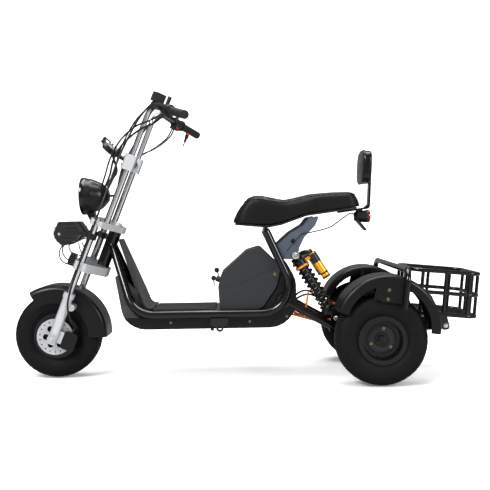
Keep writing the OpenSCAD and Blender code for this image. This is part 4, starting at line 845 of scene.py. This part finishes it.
# Routes on the chassis, in millimetres: radius, samples, points
REAR_HOSES = [
    (4.2, 60, [(196, -50, 300), (226, -62, 322), (262, -70, 333), (300, -66, 318), (335, -62, 275),
               (372, -66, 232), (410, -72, 212)]),
    (4.2, 60, [(196, 30, 296), (232, 40, 330), (275, 52, 334), (320, 58, 296), (372, 64, 236),
               (410, 70, 212)]),
    (2.6, 60, [(238, -119, 583), (272, -116, 588), (354, -60, 606), (410, -26, 640), (448, -10, 662),
               (470, -4, 650)]),
]
ORANGE_LEADS = [
    (4.6, 40, [(262, -71, 340), (258, -80, 325), (254, -83, 300), (250, -80, 266), (247, -66, 256)]),
    (5.2, 24, [(196, -30, 262), (222, -36, 247), (250, -40, 244)]),
    (4, 20, [(345, -60, 300), (372, -62, 292), (392, -60, 286)]),
]
# Routes in the steering frame: from the bar, then round the driving lamps
BAR_LEADS = [
    (5, 40, [(-45, 0, 628), (-30, -4, 672), (-16, -6, 720), (-50, -4, 770), (-66, 0, 785)]),
    (3.2, 50, [(116, 224, 992), (114, 206, 950), (96, 176, 904), (70, 140, 862), (46, 118, 836),
               (4, 118, 780)]),
    (3, 50, [(108, 226, 990), (104, 200, 940), (84, 166, 892), (60, 132, 852), (20, 120, 800),
             (-10, 112, 735)]),
    (3.2, 60, [(30, -150, 992), (4, -136, 930), (-10, -125, 850), (-12, -120, 780), (-10, -60, 700),
               (-20, -28, 640)]),
    (4.2, 60, [(112, -218, 990), (88, -200, 952), (36, -164, 905), (-8, -136, 835), (-24, -122, 765),
               (-26, -70, 700), (-34, -30, 640)]),
    (3.6, 60, [(104, -222, 992), (74, -204, 958), (20, -170, 915), (-22, -140, 845), (-40, -112, 765),
               (-46, -56, 690), (-50, -16, 632)]),
    (2.6, 40, [(-74, -64, 400), (-96, -76, 372), (-98, -70, 338), (-70, -58, 312), (-26, -50, 318)]),
    (2.6, 40, [(-70, -48, 398), (-80, -70, 368), (-60, -82, 348), (-44, -76, 334), (-24, -66, 320)]),
    (2.6, 40, [(-78, -40, 398), (-110, -36, 360), (-112, -40, 318), (-78, -46, 292), (-26, -44, 308)]),
    (2.4, 30, [(-55, -30, 390), (-40, -50, 372), (-20, -60, 352), (-34, -40, 342)]),
    (2.4, 30, [(-55, 30, 390), (-36, 46, 366), (-24, 50, 346), (-36, 36, 342)]),
]
# The stop button and the key switch on the right control: outlines in millimetres, places, facing
BUTTON = [(6.2, 0), (6.2, 3), (4.5, 4.8), (0.1, 5.5)]
SWITCH_BARREL = [(8.5, 4), (8.5, -22), (6, -24), (6, -40), (0.1, -41)]
SWITCH_RING = [(8.6, 0), (9.4, -1), (9.4, -4), (8.6, -5)]
SWITCH_BLADE = np.array([[-0.0028, 0], [0.0028, 0], [0.0028, -0.022], [0, -0.026], [-0.0028, -0.022]])
BUTTON_AT, SWITCH_AT = steer(0.1262, 0.2206, 0.9965), steer(0.171, 0.309, 0.996)
BUTTON_OUT = 0.53 * LEFT - 0.847 * FORK_FRONT
BLADE_HALF = 0.0009


def cords(routes, steered=False):
    """All cords of a table of routes as one shape; steered points are moved out of the steering frame."""
    parts = []
    for radius, count, points in routes:
        path = np.array(points) / 1000
        parts.append(line([steer(*q) for q in path] if steered else path, radius / 1000, count))
    return join(parts)


class SCOOTER_OT_wires(bpy.types.Operator):
    """Makes the hoses and wires over the frame and the bars, and the switches on the right control"""
    bl_idname = "scooter.wires"
    bl_label = "Hoses and wires"

    def execute(self, context):
        piece("rear_hoses", cords(REAR_HOSES), "cable", "chassis")
        piece("orange_leads", cords(ORANGE_LEADS), "orange", "chassis")
        piece("bar_leads", cords(BAR_LEADS, steered=True), "cable", "steering")
        piece("kill_button", lathe(BUTTON, BUTTON_AT, BUTTON_OUT, steps=28), "red", "steering")
        piece("switch_key", lathe(SWITCH_BARREL, SWITCH_AT, FORK_UP, steps=28), "control",
              "steering")
        piece("switch_ring", lathe(SWITCH_RING, SWITCH_AT, FORK_UP, steps=28), "orange",
              "steering")
        blade = SWITCH_AT - 0.04 * FORK_UP
        rim = blade + SWITCH_BLADE[:, :1] * unit(BUTTON_OUT) + SWITCH_BLADE[:, 1:] * FORK_UP
        wide = BLADE_HALF * np.cross(FORK_UP, unit(BUTTON_OUT))
        piece("switch_blade", shell(np.stack([rim - wide, rim + wide])), "chrome", "steering")
        return {"FINISHED"}


# Stage

# The camera fitted to the photo: place, angles in degrees, focal length and picture width in pixels
CAMERA_AT, CAMERA_DOWN, CAMERA_ROLL = (0.006, -3.2, 0.662), 2.24, -1.0
FOCAL_PIXELS, PICTURE_PIXELS, SENSOR = 765, 490, 36
# Area lights: place, aim, side and power in watts
LIGHTS = {
    "key": ((-2.4, -3.0, 3.4), (0, 0, 0.4), 1.6, 190),
    "fill": ((3.2, -3.2, 2.0), (0, 0, 0.5), 1.4, 80),
    "top": ((0.2, 0.4, 3.6), (0, 0, 0.4), 2.6, 150),
}
# The backdrop: half width, where the flat part starts and ends, the radius of its bend and the flat share
FLOOR_HALF, FLOOR_START, FLOOR_END, BEND, FLAT = 12.0, -6, 8, 2.5, 0.6
FLOOR_TONE, FLOOR_MIRRORED = (0.9, 0.9, 0.9, 1), (0.3, 0.3, 0.305, 1)
# Strength of the white room, seen straight or in a shiny face
ROOM, ROOM_MIRRORED = 0.75, 0.25


def floor_finish():
    """A pale floor that looks darker in shiny faces and, to the camera, glows more with distance."""
    mat = bpy.data.materials.new("pale_floor")
    mat.use_nodes = True
    t = mat.node_tree
    bsdf = t.nodes["Principled BSDF"]
    ray = node(t, "ShaderNodeLightPath").outputs
    tone = mixed(t, ray["Is Glossy Ray"], FLOOR_TONE, FLOOR_MIRRORED)
    t.links.new(tone, bsdf.inputs["Base Color"])
    bsdf.inputs["Roughness"].default_value = 0.8
    bsdf.inputs["Emission Color"].default_value = (1, 1, 1, 1)
    spot = node(t, "ShaderNodeTexCoord").outputs["Object"]
    far = node(t, "ShaderNodeVectorMath", {0: spot, 1: (0, 0, 0)}, operation="DISTANCE").outputs["Value"]
    glow = node(t, "ShaderNodeMapRange", {"Value": far, "From Min": 0.6, "From Max": 2.6,
                                          "To Min": 0.12, "To Max": 1.0})
    seen = maths(t, "MULTIPLY", glow.outputs[0], ray["Is Camera Ray"])
    t.links.new(seen, bsdf.inputs["Emission Strength"])
    return mat


def make_floor():
    """A floor that bends up into a wall along a quarter of an ellipse."""
    s = np.linspace(0, 1, 40)
    turn = (s - FLAT) / (1 - FLAT) * np.pi / 2
    level = FLOOR_START + (FLOOR_END - FLOOR_START) * s / FLAT
    y = np.where(s < FLAT, level, FLOOR_END + BEND * np.sin(turn))
    z = np.where(s < FLAT, 0, 2 * BEND * (1 - np.cos(turn)))
    x = np.array([-FLOOR_HALF, FLOOR_HALF])
    pts = np.stack(np.broadcast_arrays(x[:, None], y[None], z[None]), -1)
    floor = placed("floor", mesh_of("floor", shell(pts, close_v=False, caps=False)))
    floor.data.materials.append(floor_finish())


def make_world(scene):
    """A white room that is dimmer in shiny faces and full white to the camera."""
    world = bpy.data.worlds.new("studio")
    scene.world = world
    world.use_nodes = True
    w = world.node_tree
    bg = w.nodes["Background"]
    bg.inputs["Color"].default_value = (1, 1, 1, 1)
    ray = node(w, "ShaderNodeLightPath").outputs
    dim = node(w, "ShaderNodeMapRange", {"Value": ray["Is Glossy Ray"], "To Min": ROOM,
                                         "To Max": ROOM_MIRRORED})
    w.links.new(maths(w, "MAXIMUM", dim.outputs[0], ray["Is Camera Ray"]), bg.inputs["Strength"])


def make_light(name, at, aim, size, watts):
    """An area light whose own -z points from its place to its aim."""
    light = bpy.data.lights.new(name, "AREA")
    light.energy, light.size = watts, size
    turn = (Vector(aim) - Vector(at)).to_track_quat("-Z", "Y").to_matrix()
    placed(name, light).matrix_world = Matrix.Translation(at) @ turn.to_4x4()


def make_camera(scene):
    """The photo's camera: turned down from level about X, then rolled about its own line of sight."""
    cam = bpy.data.cameras.new("view")
    cam.lens, cam.sensor_width, cam.sensor_fit = SENSOR * FOCAL_PIXELS / PICTURE_PIXELS, SENSOR, "HORIZONTAL"
    scene.camera = placed("view", cam)
    pitch = Matrix.Rotation(math.radians(90 - CAMERA_DOWN), 3, "X")
    roll = Matrix.Rotation(math.radians(CAMERA_ROLL), 3, "Z")
    scene.camera.matrix_world = Matrix.Translation(CAMERA_AT) @ (pitch @ roll).to_4x4()


class SCOOTER_OT_stage(bpy.types.Operator):
    """Makes the floor, the lights, the world and the camera"""
    bl_idname = "scooter.stage"
    bl_label = "Stage"

    def execute(self, context):
        scene = context.scene
        make_floor()
        make_world(scene)
        for name, row in LIGHTS.items():
            make_light(name, *row)
        make_camera(scene)
        scene.view_settings.view_transform = "Standard"
        return {"FINISHED"}


OPERATORS = (SCOOTER_OT_stage, SCOOTER_OT_finishes, SCOOTER_OT_seat, SCOOTER_OT_wheels, SCOOTER_OT_lamps,
             SCOOTER_OT_trim, SCOOTER_OT_shocks, SCOOTER_OT_wires)


class SCOOTER_PT_panel(bpy.types.Panel):
    """Shows the colours, the sizes and a button for each group of pieces"""
    bl_idname = "SCOOTER_PT_panel"
    bl_label = "Scooter"
    bl_space_type = "VIEW_3D"
    bl_region_type = "UI"
    bl_category = "Scooter"

    def draw(self, context):
        for name in ScooterLooks.__annotations__:
            self.layout.prop(context.scene.scooter_looks, name)
        for op in OPERATORS:
            self.layout.operator(op.bl_idname)


CLASSES = (ScooterLooks, *OPERATORS, SCOOTER_PT_panel)


def register():
    for c in CLASSES:
        bpy.utils.register_class(c)
    bpy.types.Scene.scooter_looks = bpy.props.PointerProperty(type=ScooterLooks)


def unregister():
    del bpy.types.Scene.scooter_looks
    for c in reversed(CLASSES):
        bpy.utils.unregister_class(c)


def main():
    register()
    for op in OPERATORS:
        group_name, call = op.bl_idname.split(".")
        getattr(getattr(bpy.ops, group_name), call)()
    bpy.context.view_layer.update()


if __name__ == "__main__":
    main()
